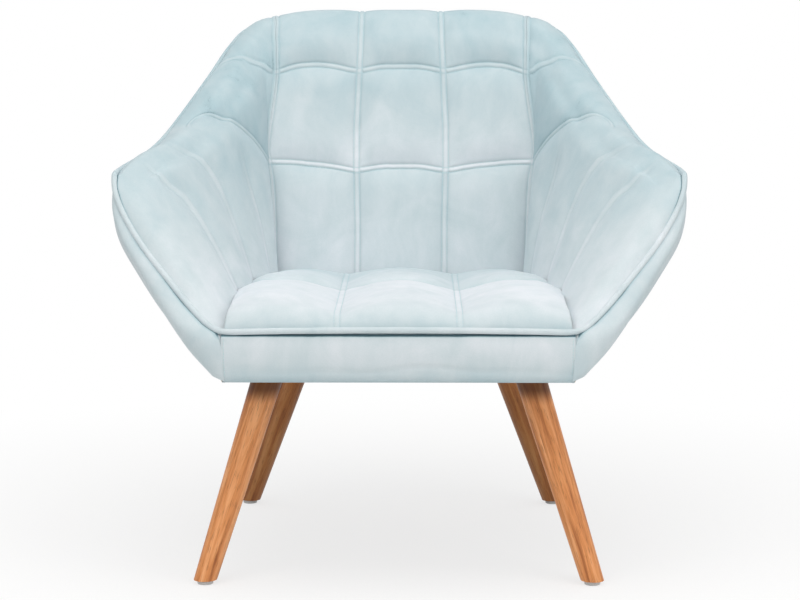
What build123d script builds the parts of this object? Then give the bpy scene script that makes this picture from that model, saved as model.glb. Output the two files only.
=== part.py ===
"""Tub armchair with a quilted velvet inside, a welted rim and four splayed wooden legs.

Millimetres, +Z up, the floor at Z = 0, the front of the chair towards -Y. The seat frame, the
moulded panels, the pads and the covers all follow two lines round the chair: the foot line at the
underside and the top line under the rim. Stations run along both lines, numbered from 0 at the
middle of the back to 9 at the front of an arm, negative on the left.
"""

import os
from math import copysign, cos, pi, radians, sin

from build123d import *

os.makedirs("parts", exist_ok=True)

# Fits
soft_gap = 0.3
screw_gap = 0.1

# The foot line, where the panels meet the underside
underside_height = 293.0
back_foot_y = 198.0
front_foot_y = -314.0
frame_half_width = 231.0

# The top line, the upper edge of the panels, and how far it flares beyond the frame's side
back_height = 766.0
back_top_y = 305.4
wing_height = 677.0
wing_flare = 48.0
arm_height = 583.0
arm_flare = 114.0
front_height = 551.0
front_top_y = -163.0
front_flare = 154.0

# Layers, from the inside out
pad_depth_back = 46.0
pad_depth_arm = 56.5
pad_depth_front = 8.0
panel_thickness = 12.0
cover_thickness = 12.0
facing_thickness = 8.0
back_bulge = 12.0
arm_bulge = 34.0
rim_roll = 13.0
welt_radius = 4.0
welt_bend_rise = 24.0
facing_slope = 44.0

# Quilting of the back and the arms
swell_share = 0.075
seam_crown = 0.6
upper_row_drop = 78.0
lower_row_drop = 249.0
roll_drop = 22.0

# Seat frame
rail_height = 44.0
rail_thickness = 20.0
gusset_thickness = 20.0
gusset_length = 132.0
gusset_width = 110.0

# Seat
spring_rise = 33.0
felt_thickness = 3.0
foam_thickness = 40.0
seat_side_gap = 7.0
foam_steps = 8
cushion_inset = 2.0
cushion_rise = 110.0
cushion_seam_drop = 13.0
cushion_side_drop = 19.0
cushion_column_x = 81.0
cushion_row_y = -66.0
nose_length = 52.0
nose_drop = 14.0
apron_rise = 68.0
front_welt_inset = 8.0
edge_roll_depth = 18.0
apron_swell = 3.0

# Sinuous springs
spring_count = 5
spring_spacing = 72.0
spring_wire_radius = 1.75
spring_width = 46.0
spring_bars = 27
clip_width = 18.0
clip_height = 9.0
clip_wall = 1.5

# Legs: inset of the top from the frame's side and end, and run of the foot beyond the top
front_leg_inset = 52.0
front_leg_setback = 118.0
front_leg_splay_x = 88.0
front_leg_splay_y = 53.0
rear_leg_inset = 89.0
rear_leg_setback = 48.0
rear_leg_splay_x = 100.0
rear_leg_splay_y = 107.0
leg_top_radius = 21.5
leg_foot_radius = 15.5
glide_radius = 11.0
glide_height = 6.0
glide_edge = 1.5
bolt_radius = 4.0
bolt_in_leg = 32.0
bolt_above_leg = 18.0
plate_size = 52.0
plate_thickness = 2.0
plate_corner = 6.0
plate_hole_pitch = 40.0
plate_boss_radius = 6.5
plate_boss_height = 14.0

# Fasteners
screw_radius = 1.8
screw_head_radius = 3.2
screw_head_height = 1.6
screw_mouth = 4.0
plate_screw_length = 16.0
panel_screw_length = 27.0
frame_screw_length = 38.0
frame_screw_spread = 32.0
screw_sink = 0.6
dowel_radius = 2.5
dowel_length = 16.0
nail_radius = 1.2
nail_length = 16.0

# Underside sheet
dust_cover_thickness = 0.8
dust_cover_inset = 6.0
staple_length = 10.0
staple_width = 1.4
staple_thickness = 0.6
staple_count = 24
staple_end_gap = 0.15

# Station numbers of the sewn seams
column_number = 1
corner_number = 3
arm_rear_number = 7
arm_front_number = 8
front_number = 9
panel_end = front_number - 0.005

# Levels and lines worked out from the sizes above
rail_top = underside_height + rail_height
spring_level = underside_height + spring_rise
cushion_crown = underside_height + cushion_rise
front_welt_height = underside_height + apron_rise
felt_bottom = spring_level + spring_wire_radius
foam_bottom = felt_bottom + felt_thickness + soft_gap
foam_top = foam_bottom + foam_thickness
leg_top_height = underside_height - plate_thickness
front_rail_face = front_foot_y + soft_gap
front_rail_back = front_rail_face + rail_thickness
welt_centre_y = front_foot_y - soft_gap - welt_radius

# Shares of the frame's half width, then of the way from the back to the front of an arm
foot_widths = [0.0, 0.294, 0.63, 0.97, 1.004, 1.009, 1.009, 1.004, 0.991, 0.961]
foot_runs = [0.0, 0.002, 0.007, 0.025, 0.098, 0.186, 0.314, 0.422, 0.656, 1.0]
top_runs = [0.0, 0.002, 0.011, 0.07, 0.136, 0.26, 0.482, 0.658, 0.853, 1.0]


def between(start, end, share):
    """The value at this share of the way from start to end."""
    return start + (end - start) * share


top_xs = [frame_half_width * width for width in (0.0, 0.294, 0.63, 0.96)]
top_xs += [
    frame_half_width + flare
    for flare in (
        0.4 * wing_flare,
        wing_flare,
        between(wing_flare, arm_flare, 0.61),
        arm_flare,
        0.96 * front_flare,
        front_flare,
    )
]
top_zs = [between(back_height, wing_height, fall) for fall in (0.0, 0.0, 0.015, 0.14, 0.45)]
top_zs += [wing_height, between(wing_height, arm_height, 0.66), arm_height]
top_zs += [between(arm_height, front_height, 0.6), front_height]
foot_line = [
    Vector(frame_half_width * width, between(back_foot_y, front_foot_y, run), underside_height)
    for width, run in zip(foot_widths, foot_runs)
]
top_line = [
    Vector(x, between(back_top_y, front_top_y, run), z)
    for x, run, z in zip(top_xs, top_runs, top_zs)
]
front_foot_x = foot_line[front_number].X
cushion_half_width = frame_half_width - cushion_inset
front_welt_half_width = frame_half_width - front_welt_inset

# Way each section faces, in degrees from straight back, and what the layers do along the run
section_turns = [0.0, 1.0, 7.0, 30.0, 56.0, 72.0, 80.0, 82.0, 84.0, 88.0]
pad_depths = [pad_depth_back] * 3 + [1.09 * pad_depth_back, pad_depth_back]
pad_depths += [0.93 * pad_depth_arm, pad_depth_arm, pad_depth_arm, 0.92 * pad_depth_arm]
pad_depths += [pad_depth_front]
bulges = [back_bulge] * 5 + [0.6 * arm_bulge] + [arm_bulge] * 3 + [0.3 * arm_bulge]
row_shares = [1.0, 1.0, 1.0, 0.94, 0.8, 0.55, 0.38, 0.36, 0.35, 0.34]


def mirrored(value):
    """The same value on the left of the chair."""
    if isinstance(value, Vector):
        return Vector(-value.X, value.Y, value.Z)
    return value


def along(line, number):
    """A smooth curve through the line's values, read at a station number."""
    if number < 0:
        return mirrored(along(line, -number))
    start = min(int(number), len(line) - 2)
    share = number - start
    low = line[start]
    high = line[start + 1]
    before = line[start - 1] if start > 0 else mirrored(line[1])
    after = line[start + 2] if start + 2 < len(line) else high * 2 - low
    low_slope = (high - before) * 0.5
    high_slope = (after - low) * 0.5
    square = share * share
    cube = square * share
    level = low * (2 * cube - 3 * square + 1) + high * (3 * square - 2 * cube)
    return level + low_slope * (cube - 2 * square + share) + high_slope * (cube - square)


def station(number):
    """The section plane at a station: X outwards, Y up the panel, from the foot line."""
    foot = along(foot_line, number)
    rise = (along(top_line, number) - foot).normalized()
    turn = radians(along(section_turns, abs(number)))
    facing = Vector(copysign(sin(turn), number), cos(turn), 0)
    outward = (facing - rise * facing.dot(rise)).normalized()
    return Plane(origin=foot, x_dir=outward, z_dir=outward.cross(rise))


def panel_length(number):
    """Length of the panel from its foot to its upper edge."""
    return (along(top_line, number) - along(foot_line, number)).length


def level_y(plane, height, offset):
    """Local Y of the point at this height and this far outwards from the panel's inner face."""
    rise = height - plane.origin.Z - offset * plane.x_dir.Z
    return rise / plane.y_dir.Z


def stations(start, end, count):
    """Evenly spaced station numbers, both ends included."""
    return [start + (end - start) * step / count for step in range(count + 1)]


def section(plane, path):
    """A closed face on the plane. A pair of points in the path is an arc: middle, then end."""
    with BuildSketch(plane) as face:
        with BuildLine():
            here = path[0]
            for goal in path[1:]:
                if isinstance(goal[0], tuple):
                    ThreePointArc(here, goal[0], goal[1])
                    here = goal[1]
                else:
                    Line(here, goal)
                    here = goal
            Line(here, path[0])
        make_face()
    return face.sketch


def quilt_share(number):
    """0 on a sewn seam, 1 half way between two seams."""
    seams = [-column_number, column_number, corner_number]
    seams += [arm_rear_number, arm_front_number, front_number]
    place = number if number >= -column_number else -number
    for low, high in zip(seams, seams[1:]):
        if place <= high:
            return sin(pi * (place - low) / (high - low))
    return 0.0


def pad_rows(number):
    """Points up the pad's inner face: bottom, two row seams and the start of the roll."""
    plane = station(number)
    length = panel_length(number)
    depth = along(pad_depths, abs(number))
    share = along(row_shares, abs(number))
    bottom = level_y(plane, rail_top + soft_gap, -depth)
    lower = length - lower_row_drop * share
    upper = length - roll_drop - (upper_row_drop - roll_drop) * share
    return [
        (-depth, bottom),
        (-depth, lower),
        (-0.85 * depth, upper),
        (-0.66 * depth, length - roll_drop),
    ]


def pad_section(number):
    """Section of the quilted pad, rolled over the panel's upper edge."""
    plane = station(number)
    length = panel_length(number)
    rows = pad_rows(number)
    bottom = rail_top + soft_gap
    path = [(-soft_gap, level_y(plane, bottom, -soft_gap)), rows[0]]
    for low, high in zip(rows, rows[1:]):
        crown = seam_crown + swell_share * (high[1] - low[1]) * quilt_share(number)
        middle = ((low[0] + high[0]) / 2 - crown, (low[1] + high[1]) / 2)
        path.append((middle, high))
    edge = panel_thickness + soft_gap
    crest = (0.4 * rows[-1][0], length + rim_roll)
    path.append((crest, (edge, length + soft_gap + 2)))
    path.append((edge, length + soft_gap))
    path.append((-soft_gap, length + soft_gap))
    return section(plane, path)


def board_section(number, inner, outer, bottom, top):
    """Section of a board lying along the panel, level at its bottom and top."""
    plane = station(number)
    path = [
        (inner, level_y(plane, bottom, inner)),
        (outer, level_y(plane, bottom, outer)),
        (outer, level_y(plane, top, outer)),
        (inner, level_y(plane, top, inner)),
    ]
    return section(plane, path)


def panel_section(number):
    """Section of a moulded panel."""
    plane = station(number)
    length = panel_length(number)
    path = [
        (0, 0),
        (panel_thickness, level_y(plane, underside_height, panel_thickness)),
        (panel_thickness, length),
        (0, length),
    ]
    return section(plane, path)


def cover_section(number):
    """Section of the outer cover, bellied outwards and rounded under at the bottom."""
    plane = station(number)
    length = panel_length(number)
    inner = panel_thickness + soft_gap
    outer = inner + cover_thickness
    bottom = level_y(plane, underside_height, outer)
    round_under = 0.7 * cover_thickness
    belly = (outer + along(bulges, abs(number)), 0.5 * (bottom + length))
    path = [
        (inner, level_y(plane, underside_height, inner)),
        (outer - round_under, level_y(plane, underside_height, outer - round_under)),
        (outer, bottom + round_under),
        (belly, (outer, length)),
        (inner, length),
    ]
    return section(plane, path)


def finish(name, part):
    """Label a finished piece and write it out."""
    part.label = name
    export_step(part, f"parts/{name}.step")


def finish_pair(name, part):
    """Write out a right hand piece and its mirror image."""
    finish(f"{name}_right", part)
    finish(f"{name}_left", mirror(part, about=Plane.YZ))


def rail_section(number):
    """Section of a seat rail, along the panel's foot."""
    return board_section(number, -rail_thickness, -soft_gap, underside_height, rail_top)


def envelope_section(number):
    """Section of the space that the rails and panels take, for trimming what lies inside."""
    bottom = underside_height - rail_height
    return board_section(number, -rail_thickness - soft_gap, gusset_width, bottom, rail_top)


def left(plane):
    """The plane mirrored to the left of the chair, for round things along its Z."""
    return Plane(
        origin=mirrored(plane.origin), x_dir=mirrored(plane.x_dir), z_dir=mirrored(plane.z_dir)
    )


def both(planes):
    """Planes on the right of the chair, and their mirror images."""
    return planes + [left(plane) for plane in planes]


def rod(plane, radius, start, end):
    """A round rod along the plane's Z."""
    with BuildPart() as piece:
        with BuildSketch(plane.offset(start)):
            Circle(radius)
        extrude(amount=end - start)
    return piece.part


def screw(plane, length):
    """A flat headed screw, driven along the plane's Z, with its head's face on the plane."""
    with BuildPart() as piece:
        add(rod(plane, screw_head_radius, 0, screw_head_height))
        add(rod(plane, screw_radius, 0, length))
    return piece.part


def screw_hole(plane, length):
    """The counterbored hole for such a screw."""
    with BuildPart() as piece:
        add(rod(plane, screw_head_radius + screw_gap, -screw_mouth, screw_head_height))
        add(rod(plane, screw_radius + screw_gap, 0, length + screw_gap))
    return piece.part


# Places of the fasteners, each a plane whose Z is the way the fastener is driven
def panel_screw_plane(number):
    """A screw driven through the panel into the rail at its foot."""
    plane = station(number)
    middle = level_y(plane, underside_height + rail_height / 2, panel_thickness)
    origin = plane.from_local_coords(Vector(panel_thickness - screw_sink, middle, 0))
    return Plane(origin=origin, x_dir=plane.y_dir, z_dir=plane.x_dir * -1)


def dowel_plane(share):
    """A dowel across the joint of the back panel and the right arm panel."""
    plane = station(corner_number)
    place = Vector(panel_thickness / 2, share * panel_length(corner_number), -dowel_length / 2)
    return Plane(origin=plane.from_local_coords(place), x_dir=plane.x_dir, z_dir=plane.z_dir)


def leg_plane(top, splay_x, splay_y):
    """A right leg's axis: origin in the middle of its top, Z up out of the leg."""
    foot = Vector(top.X + splay_x, top.Y + splay_y, glide_height)
    return Plane(origin=top, x_dir=(0, 1, 0), z_dir=top - foot)


front_leg_x = frame_half_width - front_leg_inset
rear_leg_x = frame_half_width - rear_leg_inset
front_leg_y = front_foot_y + front_leg_setback
rear_leg_y = back_foot_y - rear_leg_setback
front_leg_top = Vector(front_leg_x, front_leg_y, leg_top_height)
rear_leg_top = Vector(rear_leg_x, rear_leg_y, leg_top_height)
front_leg_axis = leg_plane(front_leg_top, front_leg_splay_x, -front_leg_splay_y)
rear_leg_axis = leg_plane(rear_leg_top, rear_leg_splay_x, rear_leg_splay_y)
leg_axes = [front_leg_axis, rear_leg_axis]
hole_reach = plate_hole_pitch / 2

plate_screw_planes = [
    Plane(origin=axis.origin + Vector(x, y, -screw_head_height), z_dir=(0, 0, 1))
    for axis in leg_axes
    for x in (-hole_reach, hole_reach)
    for y in (-hole_reach, hole_reach)
]
gusset_middle = underside_height + 0.6 * gusset_thickness
rear_screw_y = back_foot_y - 2 * screw_mouth
frame_screw_planes = [
    Plane(origin=(front_leg_x + x, front_rail_face, gusset_middle), z_dir=(0, 1, 0))
    for x in (-frame_screw_spread, 0)
]
frame_screw_planes += [
    Plane(origin=(rear_leg_x + x, rear_screw_y, gusset_middle), z_dir=(0, -1, 0))
    for x in (-frame_screw_spread, frame_screw_spread)
]
back_screw_planes = [panel_screw_plane(number) for number in (-2.5, 0, 2.5)]
arm_screw_planes = [panel_screw_plane(number) for number in (5, 6.5, 8, 8.8)]
dowel_planes = [dowel_plane(share) for share in (0.25, 0.55, 0.85)]

# Stations that the lofted pieces run through
back_stations = stations(-corner_number, corner_number, 12)
arm_stations = stations(corner_number, arm_rear_number, 8)[:-1]
arm_stations += stations(arm_rear_number, arm_front_number, 4)[:-1]
arm_stations += stations(arm_front_number, panel_end, 4)

# Moulded panels, one behind the back and one under each arm
with BuildPart() as back_panel:
    loft([panel_section(number) for number in back_stations], ruled=True)
    for plane in both(dowel_planes):
        add(rod(plane, dowel_radius + screw_gap, 0, dowel_length), mode=Mode.SUBTRACT)
    for plane in back_screw_planes:
        add(screw_hole(plane, panel_screw_length), mode=Mode.SUBTRACT)
finish("back_panel", back_panel.part)

with BuildPart() as arm_panel_right:
    loft([panel_section(number) for number in arm_stations], ruled=True)
    for plane in dowel_planes:
        add(rod(plane, dowel_radius + screw_gap, 0, dowel_length), mode=Mode.SUBTRACT)
    for plane in arm_screw_planes:
        add(screw_hole(plane, panel_screw_length), mode=Mode.SUBTRACT)
finish_pair("arm_panel", arm_panel_right.part)

with BuildPart() as panel_dowels:
    for plane in both(dowel_planes):
        add(rod(plane, dowel_radius, 0, dowel_length))
finish("panel_dowels", panel_dowels.part)

with BuildPart() as panel_screws:
    for plane in back_screw_planes + both(arm_screw_planes):
        add(screw(plane, panel_screw_length))
finish("panel_screws", panel_screws.part)

# Quilted pads of the back and the arms, rolled over the panels' upper edge
with BuildPart() as back_pad:
    loft([pad_section(number) for number in back_stations], ruled=True)
finish("back_pad", back_pad.part)

with BuildPart() as arm_pad_right:
    loft([pad_section(number) for number in arm_stations], ruled=True)
finish_pair("arm_pad", arm_pad_right.part)

# Outer covers of the back and the arms
with BuildPart() as outer_back_cover:
    loft([cover_section(number) for number in back_stations], ruled=True)
finish("outer_back_cover", outer_back_cover.part)

with BuildPart() as outer_arm_cover_right:
    loft([cover_section(number) for number in arm_stations], ruled=True)
finish_pair("outer_arm_cover", outer_arm_cover_right.part)

# Padded facings over the front ends of the arms
front_plane = station(front_number)
front_length = panel_length(front_number)
cover_face = panel_thickness + soft_gap + cover_thickness
facing_inner = -pad_depth_front
facing_path = [
    (facing_inner, level_y(front_plane, underside_height, facing_inner)),
    (cover_face, level_y(front_plane, underside_height, cover_face)),
    ((cover_face + bulges[front_number], 0.5 * front_length), (cover_face, front_length)),
    (panel_thickness, front_length),
    (facing_inner, front_length - facing_slope),
]
with BuildPart() as arm_facing_right:
    extrude(section(front_plane, facing_path), amount=facing_thickness)
finish_pair("arm_facing", arm_facing_right.part)

# Welts: one along the rim, one down the arms' front edges and across the front of the seat
def cord(points, across):
    """A round cord through the points. None of its stretches runs along the across direction."""
    circles = []
    for place, point in enumerate(points):
        ahead = points[min(place + 1, len(points) - 1)]
        behind = points[max(place - 1, 0)]
        with BuildSketch(Plane(origin=point, x_dir=across, z_dir=ahead - behind)) as ring:
            Circle(welt_radius)
        circles.append(ring.sketch)
    with BuildPart() as piece:
        loft(circles, ruled=True)
    return piece.part


def rim_point(number):
    """Middle of the rim's welt, beside the pad's roll and on the cover's sloping upper edge."""
    plane = station(number)
    step = 0.1
    ahead = along(top_line, min(number + step, front_number))
    run = ahead - along(top_line, max(number - step, -front_number))
    slant = abs(plane.x_dir.cross(run).normalized().dot(plane.y_dir))
    beside = panel_thickness + 2 * soft_gap + welt_radius
    above = panel_length(number) + (soft_gap + welt_radius) / slant
    return plane.from_local_coords(Vector(beside, above, 0))


rim_stations = [-number for number in reversed(arm_stations)] + back_stations[1:-1] + arm_stations
rim_points = [rim_point(number) for number in rim_stations]
finish("rim_welt", cord(rim_points, (0, 0, 1)))

welt_lift = facing_thickness / 2 + soft_gap
welt_inner = facing_inner - soft_gap - welt_radius
welt_places = [
    (panel_thickness / 2, front_length + welt_radius + 4 * soft_gap),
    (welt_inner, front_length - facing_slope + welt_radius),
    (welt_inner, 0.62 * front_length),
    (welt_inner, level_y(front_plane, front_welt_height + welt_bend_rise, welt_inner)),
]
welt_points = [
    front_plane.from_local_coords(Vector(x, y, welt_lift + welt_radius)) for x, y in welt_places
]
seat_corner = Vector(front_welt_half_width, welt_centre_y, front_welt_height)
bend = (welt_points[-1] + seat_corner) * 0.5
welt_points += [bend + Vector(0, -welt_radius, -welt_bend_rise / 4), seat_corner]
welt_points += [Vector(0, welt_centre_y, front_welt_height)]
welt_points += [mirrored(point) for point in reversed(welt_points[:-1])]
finish("front_welt", cord(welt_points, (0, 1, 0)))

# Seat frame: rails that lean with the panels, butted at the back corners, and a front rail
with BuildPart() as rear_rail:
    loft([rail_section(number) for number in back_stations], ruled=True)
    for plane in back_screw_planes:
        add(screw_hole(plane, panel_screw_length), mode=Mode.SUBTRACT)
    for plane in both(frame_screw_planes[2:]):
        add(screw_hole(plane, frame_screw_length), mode=Mode.SUBTRACT)
finish("rear_rail", rear_rail.part)

with BuildPart() as side_rail_right:
    loft([rail_section(number) for number in arm_stations], ruled=True)
    split(bisect_by=Plane(origin=(0, front_rail_face, 0), z_dir=(0, 1, 0)), keep=Keep.TOP)
    for plane in arm_screw_planes:
        add(screw_hole(plane, panel_screw_length), mode=Mode.SUBTRACT)
finish_pair("side_rail", side_rail_right.part)

rail_inner = -rail_thickness - soft_gap
rail_cut = Plane(
    origin=front_plane.from_local_coords(Vector(rail_inner, 0, 0)), z_dir=front_plane.x_dir
)
with BuildPart() as front_rail:
    with BuildSketch(Plane.XY.offset(underside_height)):
        with Locations((0, front_rail_face)):
            Rectangle(2 * frame_half_width, rail_thickness, align=(Align.CENTER, Align.MIN))
    extrude(amount=rail_height)
    split(bisect_by=rail_cut, keep=Keep.BOTTOM)
    split(bisect_by=left(rail_cut), keep=Keep.BOTTOM)
    for plane in both(frame_screw_planes[:2]):
        add(screw_hole(plane, frame_screw_length), mode=Mode.SUBTRACT)
finish("front_rail", front_rail.part)

# Corner gussets, trimmed to the rails, with a slanted hole for each leg plate's boss
gusset_x = frame_half_width - rail_thickness - gusset_width
rear_reach = back_foot_y - gusset_width - rail_thickness
gusset_reach = gusset_width + rail_thickness
rail_envelope = [envelope_section(number) for number in stations(0, panel_end, 18)]
with BuildPart() as corner_gussets:
    with BuildSketch(Plane.XY.offset(underside_height)):
        with Locations((gusset_x, front_rail_back)):
            Rectangle(gusset_reach, gusset_length, align=(Align.MIN, Align.MIN))
        with Locations((gusset_x, rear_reach)):
            Rectangle(gusset_reach, gusset_reach, align=(Align.MIN, Align.MIN))
    extrude(amount=gusset_thickness)
    loft(rail_envelope, ruled=True, mode=Mode.SUBTRACT)
    for axis in leg_axes:
        boss_hole = rod(axis, plate_boss_radius + soft_gap, -plate_size, gusset_reach)
        add(boss_hole, mode=Mode.SUBTRACT)
    for plane in plate_screw_planes:
        add(screw_hole(plane, plate_screw_length), mode=Mode.SUBTRACT)
    for plane in frame_screw_planes:
        add(screw_hole(plane, frame_screw_length), mode=Mode.SUBTRACT)
    mirror(about=Plane.YZ)
finish("corner_gussets", corner_gussets.part)

with BuildPart() as frame_screws:
    for plane in both(frame_screw_planes):
        add(screw(plane, frame_screw_length))
finish("frame_screws", frame_screws.part)

# Leg plates under the gussets, each with a slanted threaded boss
with BuildPart() as leg_plates:
    for axis in leg_axes:
        with BuildSketch(Plane(origin=axis.origin, z_dir=(0, 0, 1))):
            RectangleRounded(plate_size, plate_size, plate_corner)
        extrude(amount=plate_thickness)
        boss = rod(axis, plate_boss_radius, -plate_size, plate_boss_height)
        add(split(boss, bisect_by=Plane.XY.offset(leg_top_height), mode=Mode.PRIVATE))
        bolt_hole = rod(axis, bolt_radius + screw_gap, -plate_size, plate_size)
        add(bolt_hole, mode=Mode.SUBTRACT)
    for plane in plate_screw_planes:
        shank_hole = rod(plane, screw_radius + screw_gap, 0, plate_screw_length)
        add(shank_hole, mode=Mode.SUBTRACT)
    mirror(about=Plane.YZ)
finish("leg_plates", leg_plates.part)

with BuildPart() as plate_screws:
    for plane in both(plate_screw_planes):
        add(screw(plane, plate_screw_length))
finish("plate_screws", plate_screws.part)

with BuildPart() as leg_bolts:
    for axis in both(leg_axes):
        add(rod(axis, bolt_radius, -bolt_in_leg, bolt_above_leg))
finish("leg_bolts", leg_bolts.part)


# Splayed round legs, cut level at the top and the foot, with plastic glides
def foot_point(axis):
    """Middle of the leg's foot, on the top of its glide."""
    return axis.origin - axis.z_dir * ((leg_top_height - glide_height) / axis.z_dir.Z)


def leg(axis):
    """A tapered leg along its axis, bored for its bolt and its glide's nail."""
    length = (axis.origin - foot_point(axis)).length
    taper = (leg_top_radius - leg_foot_radius) / length
    spare = 2 * leg_top_radius
    with BuildPart() as piece:
        with BuildSketch(axis.offset(-length - spare)):
            Circle(leg_foot_radius - taper * spare)
        with BuildSketch(axis.offset(spare)):
            Circle(leg_top_radius + taper * spare)
        loft()
        split(bisect_by=Plane.XY.offset(leg_top_height), keep=Keep.BOTTOM)
        split(bisect_by=Plane.XY.offset(glide_height), keep=Keep.TOP)
        add(rod(axis, bolt_radius + screw_gap, -bolt_in_leg, spare), mode=Mode.SUBTRACT)
        nail_plane = Plane(origin=foot_point(axis), z_dir=(0, 0, 1))
        add(rod(nail_plane, nail_radius + screw_gap, 0, nail_length), mode=Mode.SUBTRACT)
    return piece.part


finish_pair("front_leg", leg(front_leg_axis))
finish_pair("rear_leg", leg(rear_leg_axis))

with BuildPart() as glides:
    for axis in leg_axes:
        with BuildSketch(Plane(origin=foot_point(axis), z_dir=(0, 0, -1))):
            Circle(glide_radius)
        extrude(amount=glide_height)
    fillet(glides.faces().sort_by(Axis.Z)[:2].edges(), glide_edge)
    for axis in leg_axes:
        nail_plane = Plane(origin=foot_point(axis), z_dir=(0, 0, -1))
        nail_hole = rod(nail_plane, nail_radius + screw_gap, 0, glide_height / 2)
        add(nail_hole, mode=Mode.SUBTRACT)
    mirror(about=Plane.YZ)
finish("glides", glides.part)

with BuildPart() as glide_nails:
    for axis in leg_axes:
        nail_plane = Plane(origin=foot_point(axis), z_dir=(0, 0, 1))
        add(rod(nail_plane, nail_radius, -glide_height / 2, nail_length))
    mirror(about=Plane.YZ)
finish("glide_nails", glide_nails.part)


# Sinuous springs, each held by a clip at the front rail and one at the rear rail
clip_depth = 2 * (spring_wire_radius + screw_gap + clip_wall)
spring_start = front_rail_back + clip_depth / 2
half_springs = (spring_count - 1) / 2
spring_xs = [spring_spacing * (place - half_springs) for place in range(spring_count)]


def back_number(x):
    """Station number on the back at this distance from its middle."""
    for low in range(corner_number):
        start = foot_line[low].X
        end = foot_line[low + 1].X
        if abs(x) <= end:
            return copysign(low + (abs(x) - start) / (end - start), x)


def spring_end(x):
    """Y of a spring's last bar, in its clip on the rear rail's inner face."""
    plane = station(back_number(x))
    clip_foot = level_y(plane, spring_level - clip_height / 2, rail_inner)
    face = plane.from_local_coords(Vector(rail_inner, clip_foot, 0))
    return face.Y - clip_depth / 2 - soft_gap - screw_gap


def spring_line(x):
    """Bars across the seat, joined by half turns at alternate ends."""
    turn = (spring_end(x) - spring_start) / (spring_bars - 1) / 2
    reach = spring_width / 2 - turn
    with BuildLine(Plane.XY.offset(spring_level)) as line:
        for bar in range(spring_bars):
            side = 1 if bar % 2 == 0 else -1
            y = spring_start + 2 * turn * bar
            Line((x - side * reach, y), (x + side * reach, y))
            if bar < spring_bars - 1:
                crown = (x + side * (reach + turn), y + turn)
                ThreePointArc((x + side * reach, y), crown, (x + side * reach, y + 2 * turn))
    return line.wire()


with BuildPart() as seat_springs:
    for x in spring_xs:
        line = spring_line(x)
        with BuildSketch(Plane(origin=line @ 0, z_dir=line % 0)):
            Circle(spring_wire_radius)
        sweep(path=line)
finish("seat_springs", seat_springs.part)

clip_ends = [(x, y) for x in spring_xs for y in (spring_start, spring_end(x))]
with BuildPart() as spring_clips:
    with BuildSketch(Plane.XY.offset(spring_level - clip_height / 2)):
        with Locations(clip_ends):
            Rectangle(clip_width, clip_depth)
    extrude(amount=clip_height)
    for x, y in clip_ends:
        wire = Plane(origin=(x, y, spring_level), z_dir=(1, 0, 0))
        wire_hole = rod(wire, spring_wire_radius + screw_gap, -clip_width, clip_width)
        add(wire_hole, mode=Mode.SUBTRACT)
finish("spring_clips", spring_clips.part)

felt_half_width = half_springs * spring_spacing + spring_width / 2
felt_front = spring_start + clip_depth / 2 + soft_gap
felt_back = min(spring_end(x) for x in spring_xs) - clip_depth / 2 - soft_gap
with BuildPart() as spring_felt:
    with BuildSketch(Plane.XY.offset(felt_bottom)):
        with Locations((0, felt_front)):
            Rectangle(2 * felt_half_width, felt_back - felt_front, align=(Align.CENTER, Align.MIN))
    extrude(amount=felt_thickness)
finish("spring_felt", spring_felt.part)


# Seat foam, filling the space between the pads
def pad_face(number, height):
    """Point of the pad's inner face at this height."""
    plane = station(number)
    bottom, lower = pad_rows(number)[:2]
    y = level_y(plane, height, bottom[0])
    middle = (bottom[1] + lower[1]) / 2
    reach = (lower[1] - bottom[1]) / 2
    crown = seam_crown + 2 * swell_share * reach * quilt_share(number)
    swell = crown * (1 - ((y - middle) / reach) ** 2)
    return plane.from_local_coords(Vector(bottom[0] - max(swell, 0), y, 0))


def back_face_y(height):
    """Y of the back pad's most forward crown at this height."""
    return min(pad_face(number, height).Y for number in back_stations)


def half_width(y, height):
    """Half of the clear width between the arm pads at this depth and height."""
    points = [pad_face(number, height) for number in arm_stations]
    for rear, near in zip(points, points[1:]):
        if near.Y <= y:
            share = min(max((y - near.Y) / (rear.Y - near.Y), 0), 1)
            return near.X + (rear.X - near.X) * share
    return points[-1].X


def foam_outline(height):
    """Level outline of the seat foam."""
    rear = back_face_y(rail_top) - soft_gap
    near = front_rail_back + soft_gap
    side = []
    for step in range(foam_steps + 1):
        y = rear + (near - rear) * step / foam_steps
        clear = half_width(y, rail_top) - seat_side_gap
        side.append((min(clear, front_foot_x - rail_thickness), y))
    with BuildSketch(Plane.XY.offset(height)) as face:
        with BuildLine():
            Polyline(*side, *[(-x, y) for x, y in reversed(side)], close=True)
        make_face()
    return face.sketch


with BuildPart() as seat_foam:
    extrude(foam_outline(foam_bottom), amount=foam_thickness)
finish("seat_foam", seat_foam.part)

# Edge roll on the front rail, under the front lip of the seat cushion
lip_bottom = front_welt_height + welt_radius + soft_gap
with BuildPart() as front_edge_roll:
    with BuildSketch(Plane.XY.offset(rail_top)):
        with Locations((0, front_rail_face)):
            Rectangle(2 * front_welt_half_width, edge_roll_depth, align=(Align.CENTER, Align.MIN))
    extrude(amount=lip_bottom - soft_gap - rail_top)
    split(bisect_by=rail_cut, keep=Keep.BOTTOM)
    split(bisect_by=left(rail_cut), keep=Keep.BOTTOM)
finish("front_edge_roll", front_edge_roll.part)

# Quilted seat cushion: columns across, rows front to back, a rounded nose at the front
cushion_rear = back_face_y(foam_top) - soft_gap
cushion_front = welt_centre_y - welt_radius / 2
nose_start = cushion_front + nose_length


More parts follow.
